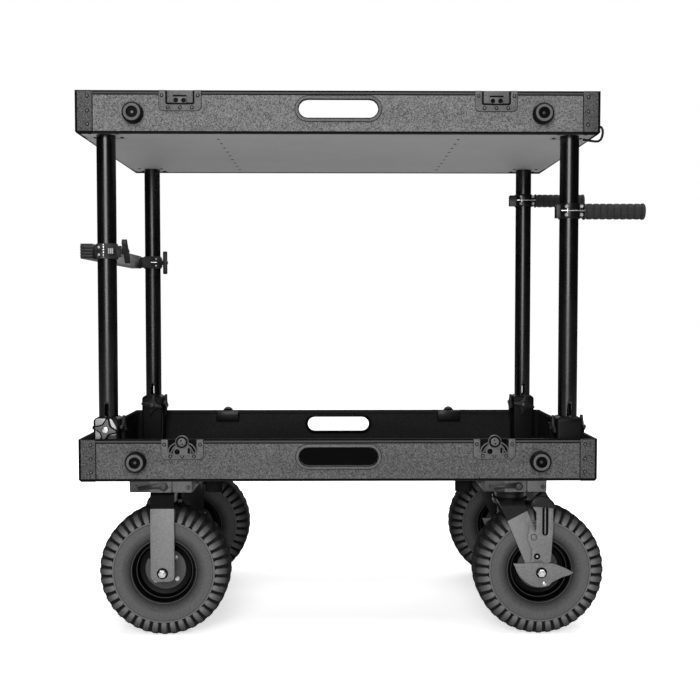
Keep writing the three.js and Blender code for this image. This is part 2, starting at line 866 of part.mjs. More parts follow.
function fork(isSwivel) {
  const reach = isSwivel ? trail : 0;
  const leg = legOutline(reach);
  const shift = reach * crownShiftShare;
  const half = legWidth / 2;
  const headTop = railBottom - clearance;
  const head = isSwivel
    ? rod(headRadius, Z, crownTop - bite, headTop)
    : block(-headRadius, headRadius, -headRadius, headRadius, crownTop - bite, headTop);
  const parts = [
    alongY(leg, -legOutside, -legInside, 4),
    alongY(leg, legInside, legOutside, 4),
    block(shift - half, shift + half, -legOutside, legOutside, crownTop - crownThickness, crownTop),
    head,
    rod(axleRadius, Y, -legOutside - nutReach, legOutside + nutReach, 12).translate(reach, 0, wheelRise),
    rod(nutRadius, Y, legOutside - bite, legOutside + nutReach, 6).translate(reach, 0, wheelRise),
    rod(nutRadius, Y, -legOutside - nutReach, -legOutside + bite, 6).translate(reach, 0, wheelRise),
  ];
  if (isSwivel) {
    const pinEnd = wingOutside + clearance + pedalThickness;
    parts.push(
      rod(kingpinRadius, Z, headTop - bite, railBottom + kingpinLength - clearance, 12),
      alongY(wingOutline(reach), -wingOutside, -legOutside + bite, 4),
      rod(pedalPinRadius, Y, -pinEnd, -legOutside + bite, 12).translate(
        reach - pedalPivotShift,
        0,
        wheelRise + pedalPivotRise,
      ),
    );
  }
  return join(...parts);
}

// The pedal stands on its pin beside the leg and carries the foot pad; its origin is the pin
function brakePedal() {
  const left = pedalPivotShift - pedalLeft;
  const right = pedalPivotShift + pedalRight;
  const low = pedalLow - pedalPivotRise;
  const high = pedalHigh - pedalPivotRise;
  const width = right - left;
  const foot = width * pedalFootShare;
  const slotHigh = high - pedalSlotHeight * pedalSlotDropShare;
  const shape = outline([
    [left, high],
    [left, low + foot],
    [left + foot, low],
    [right - foot, low],
    [right, low + foot],
    [right, high],
  ]);
  const back = -wingOutside - clearance;
  const slotTool = (share) =>
    block(
      left + width * share - pedalSlotWidth / 2,
      left + width * share + pedalSlotWidth / 2,
      back - pedalThickness - overrun,
      back + overrun,
      slotHigh - pedalSlotHeight,
      slotHigh,
    );
  const pad = block(
    left - padOverhang,
    right + padOverhang,
    back - padReach,
    back,
    high - bite,
    high + padHeight,
  );
  const hole = rod(pedalPinRadius + clearance, Y, back - overrun * 2, back + overrun, 12);
  const slots = pedalSlotShares.map(slotTool);
  return cut(join(alongY(shape, back - pedalThickness, back), pad), hole, ...slots);
}

function caster(parent, row, end) {
  const isSwivel = end === "right";
  const side = isSwivel ? 1 : -1;
  const depth = row === "front" ? -casterDepthPlace : casterDepthPlace;
  const name = `${row}_${end}`;
  const group = groupAt(parent, side * casterPlace, depth, 0);
  piece(group, `caster_rail_${name}`, casterRail(isSwivel, -side), "satinBlack");
  const outer = groupAt(group, 0, 0, 0, row === "front" ? 0 : Math.PI);
  piece(outer, `release_lever_${name}`, releaseLever(), "satinBlack", [
    leverPlace,
    -railWidth / 2 - clearance,
    lowerDeckBase - leverDrop,
  ]);
  const reach = isSwivel ? trail : 0;
  piece(group, `fork_${name}`, fork(isSwivel), "castGrey");
  const axle = [reach, 0, wheelRise];
  piece(group, `tyre_${name}`, tyre(), "rubber", axle);
  piece(group, `wheel_rim_${name}`, wheelRim(), "glossBlack", axle);
  if (!isSwivel) return;
  piece(group, `brake_pedal_${name}`, brakePedal(), "castGrey", [
    reach - pedalPivotShift,
    0,
    wheelRise + pedalPivotRise,
  ]);
}

// A split collar round a post, with a groove round its middle
function collar(height) {
  const low = height / 2;
  const groove = clampGroove / 2;
  return turned(
    [
      [turningBore, -low],
      [clampRadius, -low],
      [clampRadius, -groove],
      [clampRadius - clampGroove, -groove],
      [clampRadius - clampGroove, groove],
      [clampRadius, groove],
      [clampRadius, low],
      [turningBore, low],
      [turningBore, -low],
    ],
    Z,
    roundSides,
  );
}

function postBore(height) {
  return rod(turningBore, Z, -height / 2 - overrun, height / 2 + overrun);
}

function handleClamp(earReach) {
  const ear = block(
    -earReach,
    -postRadius,
    -clampEarWidth / 2,
    clampEarWidth / 2,
    -clampHeight / 2 + clampGroove,
    clampHeight / 2 - clampGroove,
  );
  const boss = block(
    postRadius,
    clampBossLength,
    -clampBossWidth / 2,
    clampBossWidth / 2,
    -clampHeight / 2 + clampGroove,
    clampHeight / 2 - clampGroove,
  );
  const core = rod(gripCoreRadius, X, clampBossLength - bite, clampBossLength + gripCoreLength, 12);
  return cut(join(collar(clampHeight), ear, boss, core), postBore(clampHeight));
}

// The rubber grip, ribbed along its length, with a flange at each end
function handleGrip() {
  const start = clampBossLength + seam;
  const end = gripEnd - postPlace;
  const pitch = (end - start) / gripRibs;
  const low = gripRadius - gripRibDepth;
  const profile = [
    [0, end],
    [gripRadius, end],
  ];
  for (let rib = gripRibs - 1; rib > 0; rib--) {
    const middle = start + rib * pitch;
    const crest = pitch * gripCrestShare;
    profile.push([gripRadius, middle + crest], [low, middle], [gripRadius, middle - crest]);
  }
  profile.push([gripRadius, start], [0, start]);
  const bore = rod(gripCoreRadius + seam, X, start - overrun, start + gripCoreLength, 12);
  return cut(turned(profile, X, 10), bore);
}

function pushHandle(parent, row, rise, earReach) {
  const side = row === "front" ? -1 : 1;
  const group = groupAt(parent, postPlace, side * postDepthPlace, rise);
  piece(group, `handle_clamp_${row}`, handleClamp(earReach), "satinBlack");
  piece(group, `handle_grip_${row}`, handleGrip(), "gripRubber");
}

// The cross bar lies outside the left posts and holds on to each by an arm and a collar
function crossBar() {
  const low = barRise - barHeight / 2;
  const high = barRise + barHeight / 2;
  const parts = [block(-barOuter, -barInner, barFront, barBack, low, high)];
  for (const [side, lug] of [
    [-1, barLugFront],
    [1, barLugBack],
  ]) {
    const y = side * postDepthPlace;
    const armLow = Math.min(y, side * (postDepthPlace - barArmWidth));
    const armHigh = Math.max(y, side * (postDepthPlace - barArmWidth));
    const lugHalf = barLugHeight / 2;
    parts.push(
      cut(
        join(
          collar(barHeight).translate(-postPlace, y, barRise),
          block(-barInner - bite, -postPlace, armLow, armHigh, low + clampGroove, high - clampGroove),
          block(
            -postPlace,
            -postPlace + lug,
            y - barLugWidth / 2,
            y + barLugWidth / 2,
            barRise - lugHalf,
            barRise + lugHalf,
          ),
        ),
        postBore(barHeight).translate(-postPlace, y, barRise),
      ),
    );
  }
  return join(...parts);
}

// The T-shaped knob that closes a collar, its screw along X
function barKnob(lean) {
  const start = knobHubLength;
  const bar = alongY(stadium(knobLength, knobWidth), -start - knobThickness, -start, 4);
  const grip = bar.rotateZ(Math.PI / 2).rotateX(Math.PI / 2 + degrees(lean));
  return join(rod(knobHubRadius, X, 0, start + bite, 12), grip);
}

function crossBarAndKnobs(parent) {
  piece(parent, "cross_bar", crossBar(), "satinBlack");
  for (const [row, side, lug, lean] of [
    ["front", -1, barLugFront, frontKnobLean],
    ["back", 1, barLugBack, 0],
  ]) {
    piece(parent, `cross_bar_knob_${row}`, barKnob(lean), "satinBlack", [
      -postPlace + lug + clearance,
      side * postDepthPlace,
      barRise,
    ]);
  }
}

// The tie loop leaves the end wall and comes back under its lower edge
function tieLoop() {
  const wire = loopWire / 2;
  const wall = halfLength + seam;
  const under = -wire - seam;
  const path = new THREE.CatmullRomCurve3([
    new THREE.Vector3(wall, -postDepthPlace, loopRise),
    new THREE.Vector3(wall + wire, -postDepthPlace, loopRise),
    new THREE.Vector3(wall + loopReach * loopShare.top, -postDepthPlace, loopRise - wire),
    new THREE.Vector3(wall + loopReach, -postDepthPlace, loopRise / 2),
    new THREE.Vector3(wall + loopReach * loopShare.under, -postDepthPlace, under - wire),
    new THREE.Vector3(wall - loopReturn / 2, -postDepthPlace, under - wire),
    new THREE.Vector3(wall - loopReturn, -postDepthPlace, under),
  ]);
  const section = new THREE.Shape().absarc(0, 0, wire, 0, 2 * Math.PI);
  return new THREE.ExtrudeGeometry(section, { steps: 12, curveSegments: 4, extrudePath: path });
}

const cart = new THREE.Group();
const frame = groupAt(cart, -boxMiddle, 0, 0);
deck(frame, "lower", lowerDeckBase, true);
const upper = deck(frame, "upper", upperDeckBase, false);
corners.forEach((corner) => postAndSocket(frame, corner));
for (const row of ["front", "back"]) {
  for (const end of ["left", "right"]) caster(frame, row, end);
}
pushHandle(frame, "front", frontHandleRise, frontClampEar);
pushHandle(frame, "back", backHandleRise, backClampEar);
crossBarAndKnobs(frame);
piece(upper, "tie_loop", tieLoop(), "satinBlack");

export default cart;
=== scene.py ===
"""Camera cart: the looks of two decks on four posts, with casters, handles and a cross bar."""

import logging
import math
from dataclasses import dataclass
from enum import Enum
from functools import cache
from typing import Iterable, Sequence

import bmesh
import bpy
from mathutils import Matrix, Quaternion, Vector


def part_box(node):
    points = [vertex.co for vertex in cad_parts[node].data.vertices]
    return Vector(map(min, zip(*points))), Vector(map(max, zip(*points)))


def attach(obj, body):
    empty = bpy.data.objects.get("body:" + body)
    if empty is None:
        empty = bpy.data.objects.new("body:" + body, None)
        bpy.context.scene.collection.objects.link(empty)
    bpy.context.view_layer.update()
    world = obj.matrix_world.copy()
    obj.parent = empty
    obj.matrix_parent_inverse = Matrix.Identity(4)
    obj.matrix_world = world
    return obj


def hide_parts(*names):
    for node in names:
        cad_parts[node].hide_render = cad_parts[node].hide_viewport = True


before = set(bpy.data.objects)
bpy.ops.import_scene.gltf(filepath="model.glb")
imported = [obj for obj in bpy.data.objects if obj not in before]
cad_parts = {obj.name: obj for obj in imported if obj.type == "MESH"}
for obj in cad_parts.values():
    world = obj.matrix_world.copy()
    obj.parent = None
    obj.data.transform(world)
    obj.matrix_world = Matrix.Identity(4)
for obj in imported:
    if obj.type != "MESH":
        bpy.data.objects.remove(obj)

log = logging.getLogger("camera_cart")

MM = 0.001
MIDDLE_X = -50.0
LOWER_BASE, UPPER_BASE = 321.5, 1009.5
POST_X, POST_Y = 465.25, 255.0
LATCH_X = {"front": 311.0, "back": 283.0}
ROWS, ENDS, SIDES = ("front", "back"), ("left", "right"), (-1, 1)
FRONT, BACK = Vector((0, -1, 0)), Vector((0, 1, 0))
LEFT, RIGHT = Vector((-1, 0, 0)), Vector((1, 0, 0))
TOP, DOWN = Vector((0, 0, 1)), Vector((0, 0, -1))

Pair = tuple[float, float]
Point = tuple[float, float, float]
Colour = tuple[float, float, float, float]
Outline = Sequence[Pair]
Spots = Sequence[tuple[Point, Vector]]
Mesh, Object, Material = bpy.types.Mesh, bpy.types.Object, bpy.types.Material
Tree, Node, Socket = bpy.types.NodeTree, bpy.types.Node, bpy.types.NodeSocket


def sign(name: str) -> int:
    """The side that a row or end is on: -1 for front and left, 1 for back and right."""
    return -1 if name in ("front", "left") else 1


def spot(x: float, y: float, z: float) -> Vector:
    """A place in millimetres from the middle of the decks, in the frame's metres."""
    return Vector((x + MIDDLE_X, y, z)) * MM


def ramp(value: float, low: float, span: float) -> float:
    """How far a value is through a span that starts at low, from 0 to 1."""
    return min(1.0, max(0.0, (value - low) / span))


def grey(level: float, warmth: float = 0.0) -> Colour:
    """A linear grey of a screen level, its red raised and blue lowered by a share."""
    share = level / 255
    value = share / 12.92 if share <= 0.04045 else ((share + 0.055) / 1.055) ** 2.4
    return (value * (1 + warmth), value, value * (1 - warmth), 1.0)


# Node trees


class Sheet:
    """Adds nodes to one tree and links them."""

    def __init__(self, tree: Tree) -> None:
        """Args: tree: The tree that the nodes go in."""
        self.tree = tree

    def add(
        self, kind: str, inputs: dict[str | int, object] | None = None, **settings: object
    ) -> Node:
        """A new node of that kind, with its settings, then its inputs."""
        node = self.tree.nodes.new(kind)
        for name, value in settings.items():
            setattr(node, name, value)
        for name, value in (inputs or {}).items():
            self.feed(node.inputs[name], value)
        return node

    def feed(self, socket: Socket, value: object) -> None:
        """Links a socket to a source, or sets its plain value."""
        if isinstance(value, Socket):
            self.tree.links.new(value, socket)
        else:
            socket.default_value = value

    def math(self, operation: str, *values: object, clamp: bool = False) -> Socket:
        """The result of a math node."""
        inputs = dict(enumerate(values))
        return self.add("ShaderNodeMath", inputs, operation=operation, use_clamp=clamp).outputs[0]

    def span(
        self, value: object, low: float, high: float, start: float = 0.0, end: float = 1.0
    ) -> Socket:
        """A value brought from low..high to start..end, clamped."""
        names = ("Value", "From Min", "From Max", "To Min", "To Max")
        inputs = dict(zip(names, (value, low, high, start, end)))
        return self.add("ShaderNodeMapRange", inputs, clamp=True).outputs["Result"]

    def blend(self, mask: object, first: object, second: object) -> Socket:
        """A colour between two, by a mask."""
        inputs = {"Factor": mask, 6: first, 7: second}
        return self.add("ShaderNodeMix", inputs, data_type="RGBA").outputs[2]

    def noise(self, vector: object, scale: object, detail: float, rough: float) -> object:
        """A noise texture's value."""
        inputs = {"Vector": vector, "Scale": scale, "Detail": detail, "Roughness": rough}
        return self.add("ShaderNodeTexNoise", inputs).outputs["Fac"]

    def end(self, outputs: dict[str, object]) -> Tree:
        """Ends a group with what it puts out."""
        self.add("NodeGroupOutput", outputs)
        return self.tree


def new_group(
    kind: str, name: str, inputs: dict[str, tuple[str, object]], outputs: Iterable[str], out: str
) -> tuple[Sheet, object]:
    """A node group with named sockets.

    Args:
        kind: Shader or Geometry.
        name: The group's name.
        inputs: Socket kind and plain value by name.
        outputs: Names of its outputs.
        out: Socket kind of its outputs.

    Returns:
        The sheet and the sockets of its input node.
    """
    tree = bpy.data.node_groups.new(name, f"{kind}NodeTree")
    for label, (sort, value) in inputs.items():
        socket = tree.interface.new_socket(label, in_out="INPUT", socket_type=f"NodeSocket{sort}")
        if value is not None:
            socket.default_value = value
    for label in outputs:
        tree.interface.new_socket(label, in_out="OUTPUT", socket_type=f"NodeSocket{out}")
    sheet = Sheet(tree)
    return sheet, sheet.add("NodeGroupInput").outputs


@cache
def grain_group() -> Tree:
    """Fine grain of a sprayed or cast surface: a shade mask and a height."""
    inputs = {"Vector": ("Vector", None), "Scale": ("Float", 900.0)}
    sheet, source = new_group("Shader", "surface_grain", inputs, ("Shade", "Height"), "Float")
    fine = sheet.noise(source["Vector"], source["Scale"], 2.0, 0.6)
    coarse = sheet.noise(source["Vector"], sheet.math("MULTIPLY", source["Scale"], 0.55), 1.0, 0.5)
    both = sheet.math("ADD", sheet.math("MULTIPLY", fine, 0.7), sheet.math("MULTIPLY", coarse, 0.3))
    spread = sheet.math("MULTIPLY", sheet.math("SUBTRACT", both, 0.5), 3.2)
    return sheet.end({"Shade": sheet.math("ADD", spread, 0.5, clamp=True), "Height": both})


@cache
def patina_group() -> Tree:
    """Slow changes over a surface: rubbed patches, and dust where it faces up."""
    inputs = {"Vector": ("Vector", None), "Dust": ("Float", 0.2)}
    sheet, source = new_group("Shader", "surface_patina", inputs, ("Patches", "Dust"), "Float")
    patches = sheet.noise(source["Vector"], 9.0, 5.0, 0.6)
    normal = sheet.add("ShaderNodeNewGeometry").outputs["Normal"]
    up = sheet.span(sheet.add("ShaderNodeSeparateXYZ", {0: normal}).outputs["Z"], 0.3, 1.0)
    specks = sheet.span(sheet.noise(source["Vector"], 60.0, 6.0, 0.7), 0.42, 0.7)
    dust = sheet.math("MULTIPLY", sheet.math("MULTIPLY", up, specks), source["Dust"])
    return sheet.end({"Patches": sheet.span(patches, 0.3, 0.7), "Dust": dust})


@cache
def band_group() -> Tree:
    """A mask that is 1 between two levels of a value, with soft ends."""
    plain = {"Value": 0.0, "Low": 0.0, "High": 1.0, "Soft": 0.0003}
    inputs = {name: ("Float", value) for name, value in plain.items()}
    sheet, source = new_group("Shader", "level_band", inputs, ("Mask",), "Float")
    rise = sheet.math("SUBTRACT", source["Value"], source["Low"])
    fall = sheet.math("SUBTRACT", source["High"], source["Value"])
    ends = [sheet.math("DIVIDE", gap, source["Soft"]) for gap in (rise, fall)]
    return sheet.end({"Mask": sheet.math("ADD", sheet.math("MINIMUM", *ends), 0.5, clamp=True)})


@dataclass(frozen=True)
class Finish:
    """One finish of the cart: its colour, gloss and grain."""

    name: str
    level: float
    roughness: float
    metallic: float = 0.0
    coat: float = 0.0
    contrast: float = 0.12
    grain: float = 900.0
    bump: float = 0.1
    dust: float = 0.12
    specular: float = 0.5

    def shade(self, share: float = 1.0) -> Colour:
        """The finish's colour made lighter or darker by a share."""
        return grey(min(255.0, self.level * share))

    def colour(self, sheet: Sheet, masks: dict[str, object]) -> object:
        """The grained and dusted colour."""
        dark, light = self.shade(1 - self.contrast), self.shade(1 + self.contrast)
        return sheet.blend(
            masks["dust"], sheet.blend(masks["shade"], dark, light), grey(120, 0.03)
        )

    def make(self) -> Material:
        """Makes the material: its grain and patina, then its colour."""
        material = bpy.data.materials.new(self.name)
        material.use_nodes = True
        material.diffuse_color = self.shade()
        sheet = Sheet(material.node_tree)
        vector = sheet.add("ShaderNodeTexCoord").outputs["Object"]
        inputs = {"Vector": vector, "Scale": self.grain}
        grain = sheet.add("ShaderNodeGroup", inputs, node_tree=grain_group()).outputs
        inputs = {"Vector": vector, "Dust": self.dust}
        patina = sheet.add("ShaderNodeGroup", inputs, node_tree=patina_group()).outputs
        inputs = {"Strength": self.bump, "Distance": 0.0006, "Height": grain["Height"]}
        bump = sheet.add("ShaderNodeBump", inputs).outputs["Normal"]
        wear = sheet.span(patina["Patches"], 0.0, 1.0, -0.05, 0.06)
        masks = {"place": vector, "shade": grain["Shade"], "dust": patina["Dust"]}
        shader = {
            "Metallic": self.metallic,
            "Coat Weight": self.coat,
            "Coat Roughness": 0.12,
            "Specular IOR Level": self.specular,
            "Normal": bump,
            "Roughness": sheet.math("ADD", wear, self.roughness, clamp=True),
            "Base Color": self.colour(sheet, masks),
        }
        for name, value in shader.items():
            sheet.feed(material.node_tree.nodes["Principled BSDF"].inputs[name], value)
        return material


@dataclass(frozen=True)
class WallFinish(Finish):
    """The textured coat of a deck's walls, with its dark rim, foot edge, corners, inside, and
    painted shade on the corners' rounded outer edge.

    The bands are from, to and screen level, in millimetres over the deck's base or from its
    middle, and the outer faces start a little inside the real ones.
    """

    roughness: float = 0.68
    metallic: float = 0.1
    contrast: float = 0.44
    grain: float = 560.0
    bump: float = 0.2
    specular: float = 0.05
    base: float = LOWER_BASE
    is_end: bool = False

    SOFT, FAR = 0.3, 700.0
    SIDE_START, CORNER_START, END_START = 293.4, 294.6, 516.2
    FOOT = (-5.0, 5.6, 7)
    END_RIMS = ((83.4, 90, 8),)
    SIDE_RIMS = ((75.9, 77.3, 10), (77.3, 81.9, 70), (81.9, 90, 3))
    SEAM = (482.2, 486, 16)
    # A dark band on the corners' rounded outer edge: painted shade.
    CORNER_EDGE_SHADE = (512.4, FAR, 8)

    def colour(self, sheet: Sheet, masks: dict[str, object]) -> object:
        """The coat's colour by the place on the wall."""
        axes = sheet.add("ShaderNodeSeparateXYZ", {0: masks["place"]}).outputs

        def band(value: object, low: float, high: float) -> object:
            """A mask that is 1 from low to high."""
            inputs = {"Value": value, "Low": low * MM, "High": high * MM, "Soft": self.SOFT * MM}
            return sheet.add("ShaderNodeGroup", inputs, node_tree=band_group()).outputs["Mask"]

        def paint(under: object, value: object, low: float, high: float, level: float) -> object:
            """A colour with a grey band over it."""
            return sheet.blend(band(value, low, high), under, grey(level))

        depth = sheet.math("ABSOLUTE", axes["Y"])
        length = sheet.math("ABSOLUTE", sheet.math("SUBTRACT", axes["X"], MIDDLE_X * MM))
        faces = band(depth, self.SIDE_START, self.FAR), band(length, self.END_START, self.FAR)
        colour = super().colour(sheet, masks)
        if self.is_end:
            corner = sheet.blend(masks["shade"], grey(20), grey(101))
            # Painted shade along the corner's rounded outer edge.
            corner = paint(corner, length, *self.CORNER_EDGE_SHADE)
            colour = sheet.blend(band(depth, self.CORNER_START, self.FAR), colour, corner)
        else:
            colour = paint(colour, length, *self.SEAM)
        for low, high, level in (*(self.END_RIMS if self.is_end else self.SIDE_RIMS), self.FOOT):
            colour = paint(colour, axes["Z"], self.base + low, self.base + high, level)
        inner = sheet.blend(masks["shade"], grey(27), grey(46))
        return sheet.blend(sheet.math("MAXIMUM", *faces), inner, colour)


@dataclass(frozen=True)
class TyreFinish(Finish):
    """Rubber with painted light and shade from the mesh's own values: painted highlights on the
    lugs and on a ridge ring, and painted shade near the bead, between the lugs and on the tread.
    """

    def colour(self, sheet: Sheet, masks: dict[str, object]) -> object:
        """The rubber's colour with the mesh's painted light and shade."""
        tone = sheet.add("ShaderNodeAttribute", attribute_name="tone").outputs["Fac"]
        rubber = super().colour(sheet, masks)
        # Low values darken the rubber as painted shade; high values lighten it as painted
        # highlight.
        shaded = sheet.blend(sheet.span(tone, 0.0, 0.5), grey(14), rubber)
        return sheet.blend(sheet.span(tone, 0.5, 1.0, 0.0, 0.8), shaded, self.shade(1.55))


class Coat(Enum):
    """The cart's finishes by what they are on."""

    PANEL = Finish(
        "deck_panel_coat", 154, 0.55, 0.2, contrast=0.04, grain=1400, bump=0.05, specular=0.3
    )
    INSIDE = Finish(
        "deck_inside_coat", 19, 0.8, contrast=0.35, grain=700, bump=0.12, dust=0, specular=0
    )
    TRAY = Finish(
        "upper_tray_coat", 34, 0.62, contrast=0.3, grain=560, bump=0.2, dust=0.1, specular=0.12
    )
    POST = Finish("post_anodised", 1, 0.27, contrast=0.08, grain=2400, bump=0.01, dust=0)
    CAST = Finish(
        "cast_metal_coat", 8, 0.5, contrast=0.2, grain=600, bump=0.15, dust=0, specular=0.12
    )
    # Pale cast metal: painted light on the front left socket's face, and the small grid on the
    # cross bar.
    BRIGHT_CAST = Finish("cast_metal_worn", 150, 0.45, 0.4, grain=600, bump=0.12)
    BLACK = Finish("black_metal_coat", 12, 0.38, coat=0.1, contrast=0.15, specular=0.18)
    # Near black: painted shade on the fixed casters' crown.
    YOKE = Finish("yoke_coat", 13, 0.7, contrast=0.15, grain=700, bump=0.12, dust=0, specular=0.06)
    RAIL = Finish("rail_metal_coat", 62, 0.5, 0.2, grain=800, specular=0.2)
    FORK = Finish("fork_metal_coat", 113, 0.5, 0.25, grain=500, bump=0.16, specular=0.25)
    RIM = Finish("rim_gloss_black", 3, 0.4, contrast=0.08, bump=0.02, dust=0, specular=0.1)
    DISC = Finish("hub_disc_coat", 74, 0.5, 0.2, contrast=0.14, grain=600, specular=0.2)
    STEEL = Finish("zinc_plated_steel", 205, 0.28, 0.85, contrast=0.1, grain=500, bump=0.03)
    BOLT = Finish("bolt_steel", 168, 0.45, 0.3, contrast=0.1, grain=500, bump=0.05, specular=0.3)
    DARK_STEEL = Finish("blackened_steel", 58, 0.35, 0.6, contrast=0.15, grain=700)
    KNOB = Finish("knob_polymer", 26, 0.42, contrast=0.1, grain=1200, bump=0.05, specular=0.2)
    GRIP = Finish("grip_rubber", 44, 0.72, grain=1100, bump=0.15, dust=0.2, specular=0.12)
    RUBBER = Finish("bumper_rubber", 12, 0.6, bump=0.08, specular=0.08)
    PLATE = Finish("latch_plate_coat", 84, 0.55, 0.1, contrast=0.26, grain=560, specular=0.2)
    LATCH = Finish("latch_metal_coat", 88, 0.5, 0.2, grain=800, bump=0.08, specular=0.2)
    RIVET = Finish("rivet_metal", 92, 0.4, 0.3, contrast=0.1, bump=0.05, specular=0.3)
    BUMPER_FACE = Finish("bumper_face_rubber", 88, 0.65, contrast=0.1, specular=0.12)
    BAR = Finish("bar_metal_coat", 48, 0.5, 0.15, contrast=0.15, grain=700, bump=0.12, specular=0.2)
    TRIM = Finish("trim_satin_black", 3, 0.45, contrast=0.08, dust=0, specular=0.05)
    TYRE = TyreFinish("tyre_rubber", 78, 0.8, contrast=0.1, grain=420, bump=0.25, specular=0.1)
    LOWER_WALL = WallFinish("lower_wall_coat", 77)
    UPPER_WALL = WallFinish("upper_wall_coat", 93, base=UPPER_BASE)
    LOWER_END = WallFinish("lower_end_coat", 78, is_end=True)
    UPPER_END = WallFinish("upper_end_coat", 92, base=UPPER_BASE, is_end=True)

    @property
    def material(self) -> Material:
        """The finish's material, made once."""
        return bpy.data.materials.get(self.value.name) or self.value.make()


# Outlines and places


def facing(place: Point, out: Vector) -> Matrix:
    """A frame at a place in millimetres whose Z points out of a surface and whose Y points up."""
    x = TOP.cross(out).normalized()
    return Matrix.Translation(place) @ Matrix((x, out.cross(x), out)).transposed().to_4x4()


def moved(place: Matrix, x: float, y: float, z: float) -> Matrix:
    """A frame moved along its own axes."""
    return place @ Matrix.Translation((x, y, z))


def stub(low: float, *steps: Pair) -> list[Pair]:
    """The profile of a solid turned body: from its foot over its steps and back to the axis."""
    return [(0, low), (steps[0][0], low), *steps, (0, steps[-1][1])]


def block(low: Pair, high: Pair) -> list[Pair]:
    """A rectangle as an outline."""
    return [low, (high[0], low[1]), high, (low[0], high[1])]


def arc(centre: Pair, radius: float, start: float, end: float, steps: int) -> list[Pair]:
    """Points of an arc, angles in degrees."""
    angles = [math.radians(start + (end - start) * step / steps) for step in range(steps + 1)]
    return [(centre[0] + radius * math.cos(a), centre[1] + radius * math.sin(a)) for a in angles]


def stadium(length: float, height: float, steps: int = 16) -> list[Pair]:
    """A long outline with round ends, about the origin."""
    half, radius = (length - height) / 2, height / 2
    return arc((half, 0), radius, -90, 90, steps) + arc((-half, 0), radius, 90, 270, steps)


def rounded(points: Outline, radius: float, steps: int = 4) -> list[Pair]:
    """An outline whose corners are rounded."""
    made: list[Pair] = []
    for index, point in enumerate(points):
        corner = Vector(point)
        before = Vector(points[index - 1]) - corner
        after = Vector(points[(index + 1) % len(points)]) - corner
        reach = min(radius, before.length * 0.45, after.length * 0.45)
        start = corner + before.normalized() * reach
        end = corner + after.normalized() * reach
        for step in range(steps + 1):
            share = step / steps
            bend = start.lerp(corner, share).lerp(corner.lerp(end, share), share)
            made.append((bend.x, bend.y))
    return made


# Meshes


def soften(part: bmesh.types.BMesh, edges: list, offset: float, steps: int, clamp: bool) -> None:
    """Rounds some edges of a part."""
    bmesh.ops.bevel(
        part,
        geom=edges,
        offset=offset,
        segments=steps,
        affect="EDGES",
        profile=0.5,
        clamp_overlap=clamp,
    )


def skin(part: bmesh.types.BMesh, rows: Sequence[Sequence[bmesh.types.BMVert]]) -> None:
    """Closes rows of points to a solid: faces from row to row and one at each end."""
    for first, second in zip(rows, rows[1:]):
        for step in range(len(first)):
            after = (step + 1) % len(first)
            part.faces.new((first[step], first[after], second[after], second[step]))
    part.faces.new(rows[0])
    part.faces.new(rows[-1][::-1])


def settle(
    data: Mesh,
    name: str,
    body: str,
    stands_for: Iterable[str] = (),
    smooth: float = 34.0,
) -> Object:
    """Puts a mesh in the scene as a piece of the cart.

    Args:
        data: The mesh, in place.
        name: The piece's name.
        body: The body that it rides on.
        stands_for: Nodes that it replaces.
        smooth: Greatest angle of an edge that is shaded smooth, in degrees.

    Returns:
        The piece.
    """
    data.shade_smooth()
    data.set_sharp_from_angle(angle=math.radians(smooth))
    made = link(name, data)
    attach(made, body)
    nodes = list(stands_for)
    if nodes:
        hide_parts(*nodes)
    log.info("%s rides on %s, %d faces", name, body, len(data.polygons))
    return made


def link(name: str, data: bpy.types.ID | None) -> Object:
    """A new object in the scene."""
    made = bpy.data.objects.new(name, data)
    bpy.context.scene.collection.objects.link(made)
    return made


def evaluated(holder: Object, modifier: bpy.types.Modifier) -> Mesh:
    """An object's mesh after a modifier, which is then removed."""
    graph = bpy.context.evaluated_depsgraph_get()
    made = bpy.data.meshes.new_from_object(holder.evaluated_get(graph))
    holder.modifiers.remove(modifier)
    return made


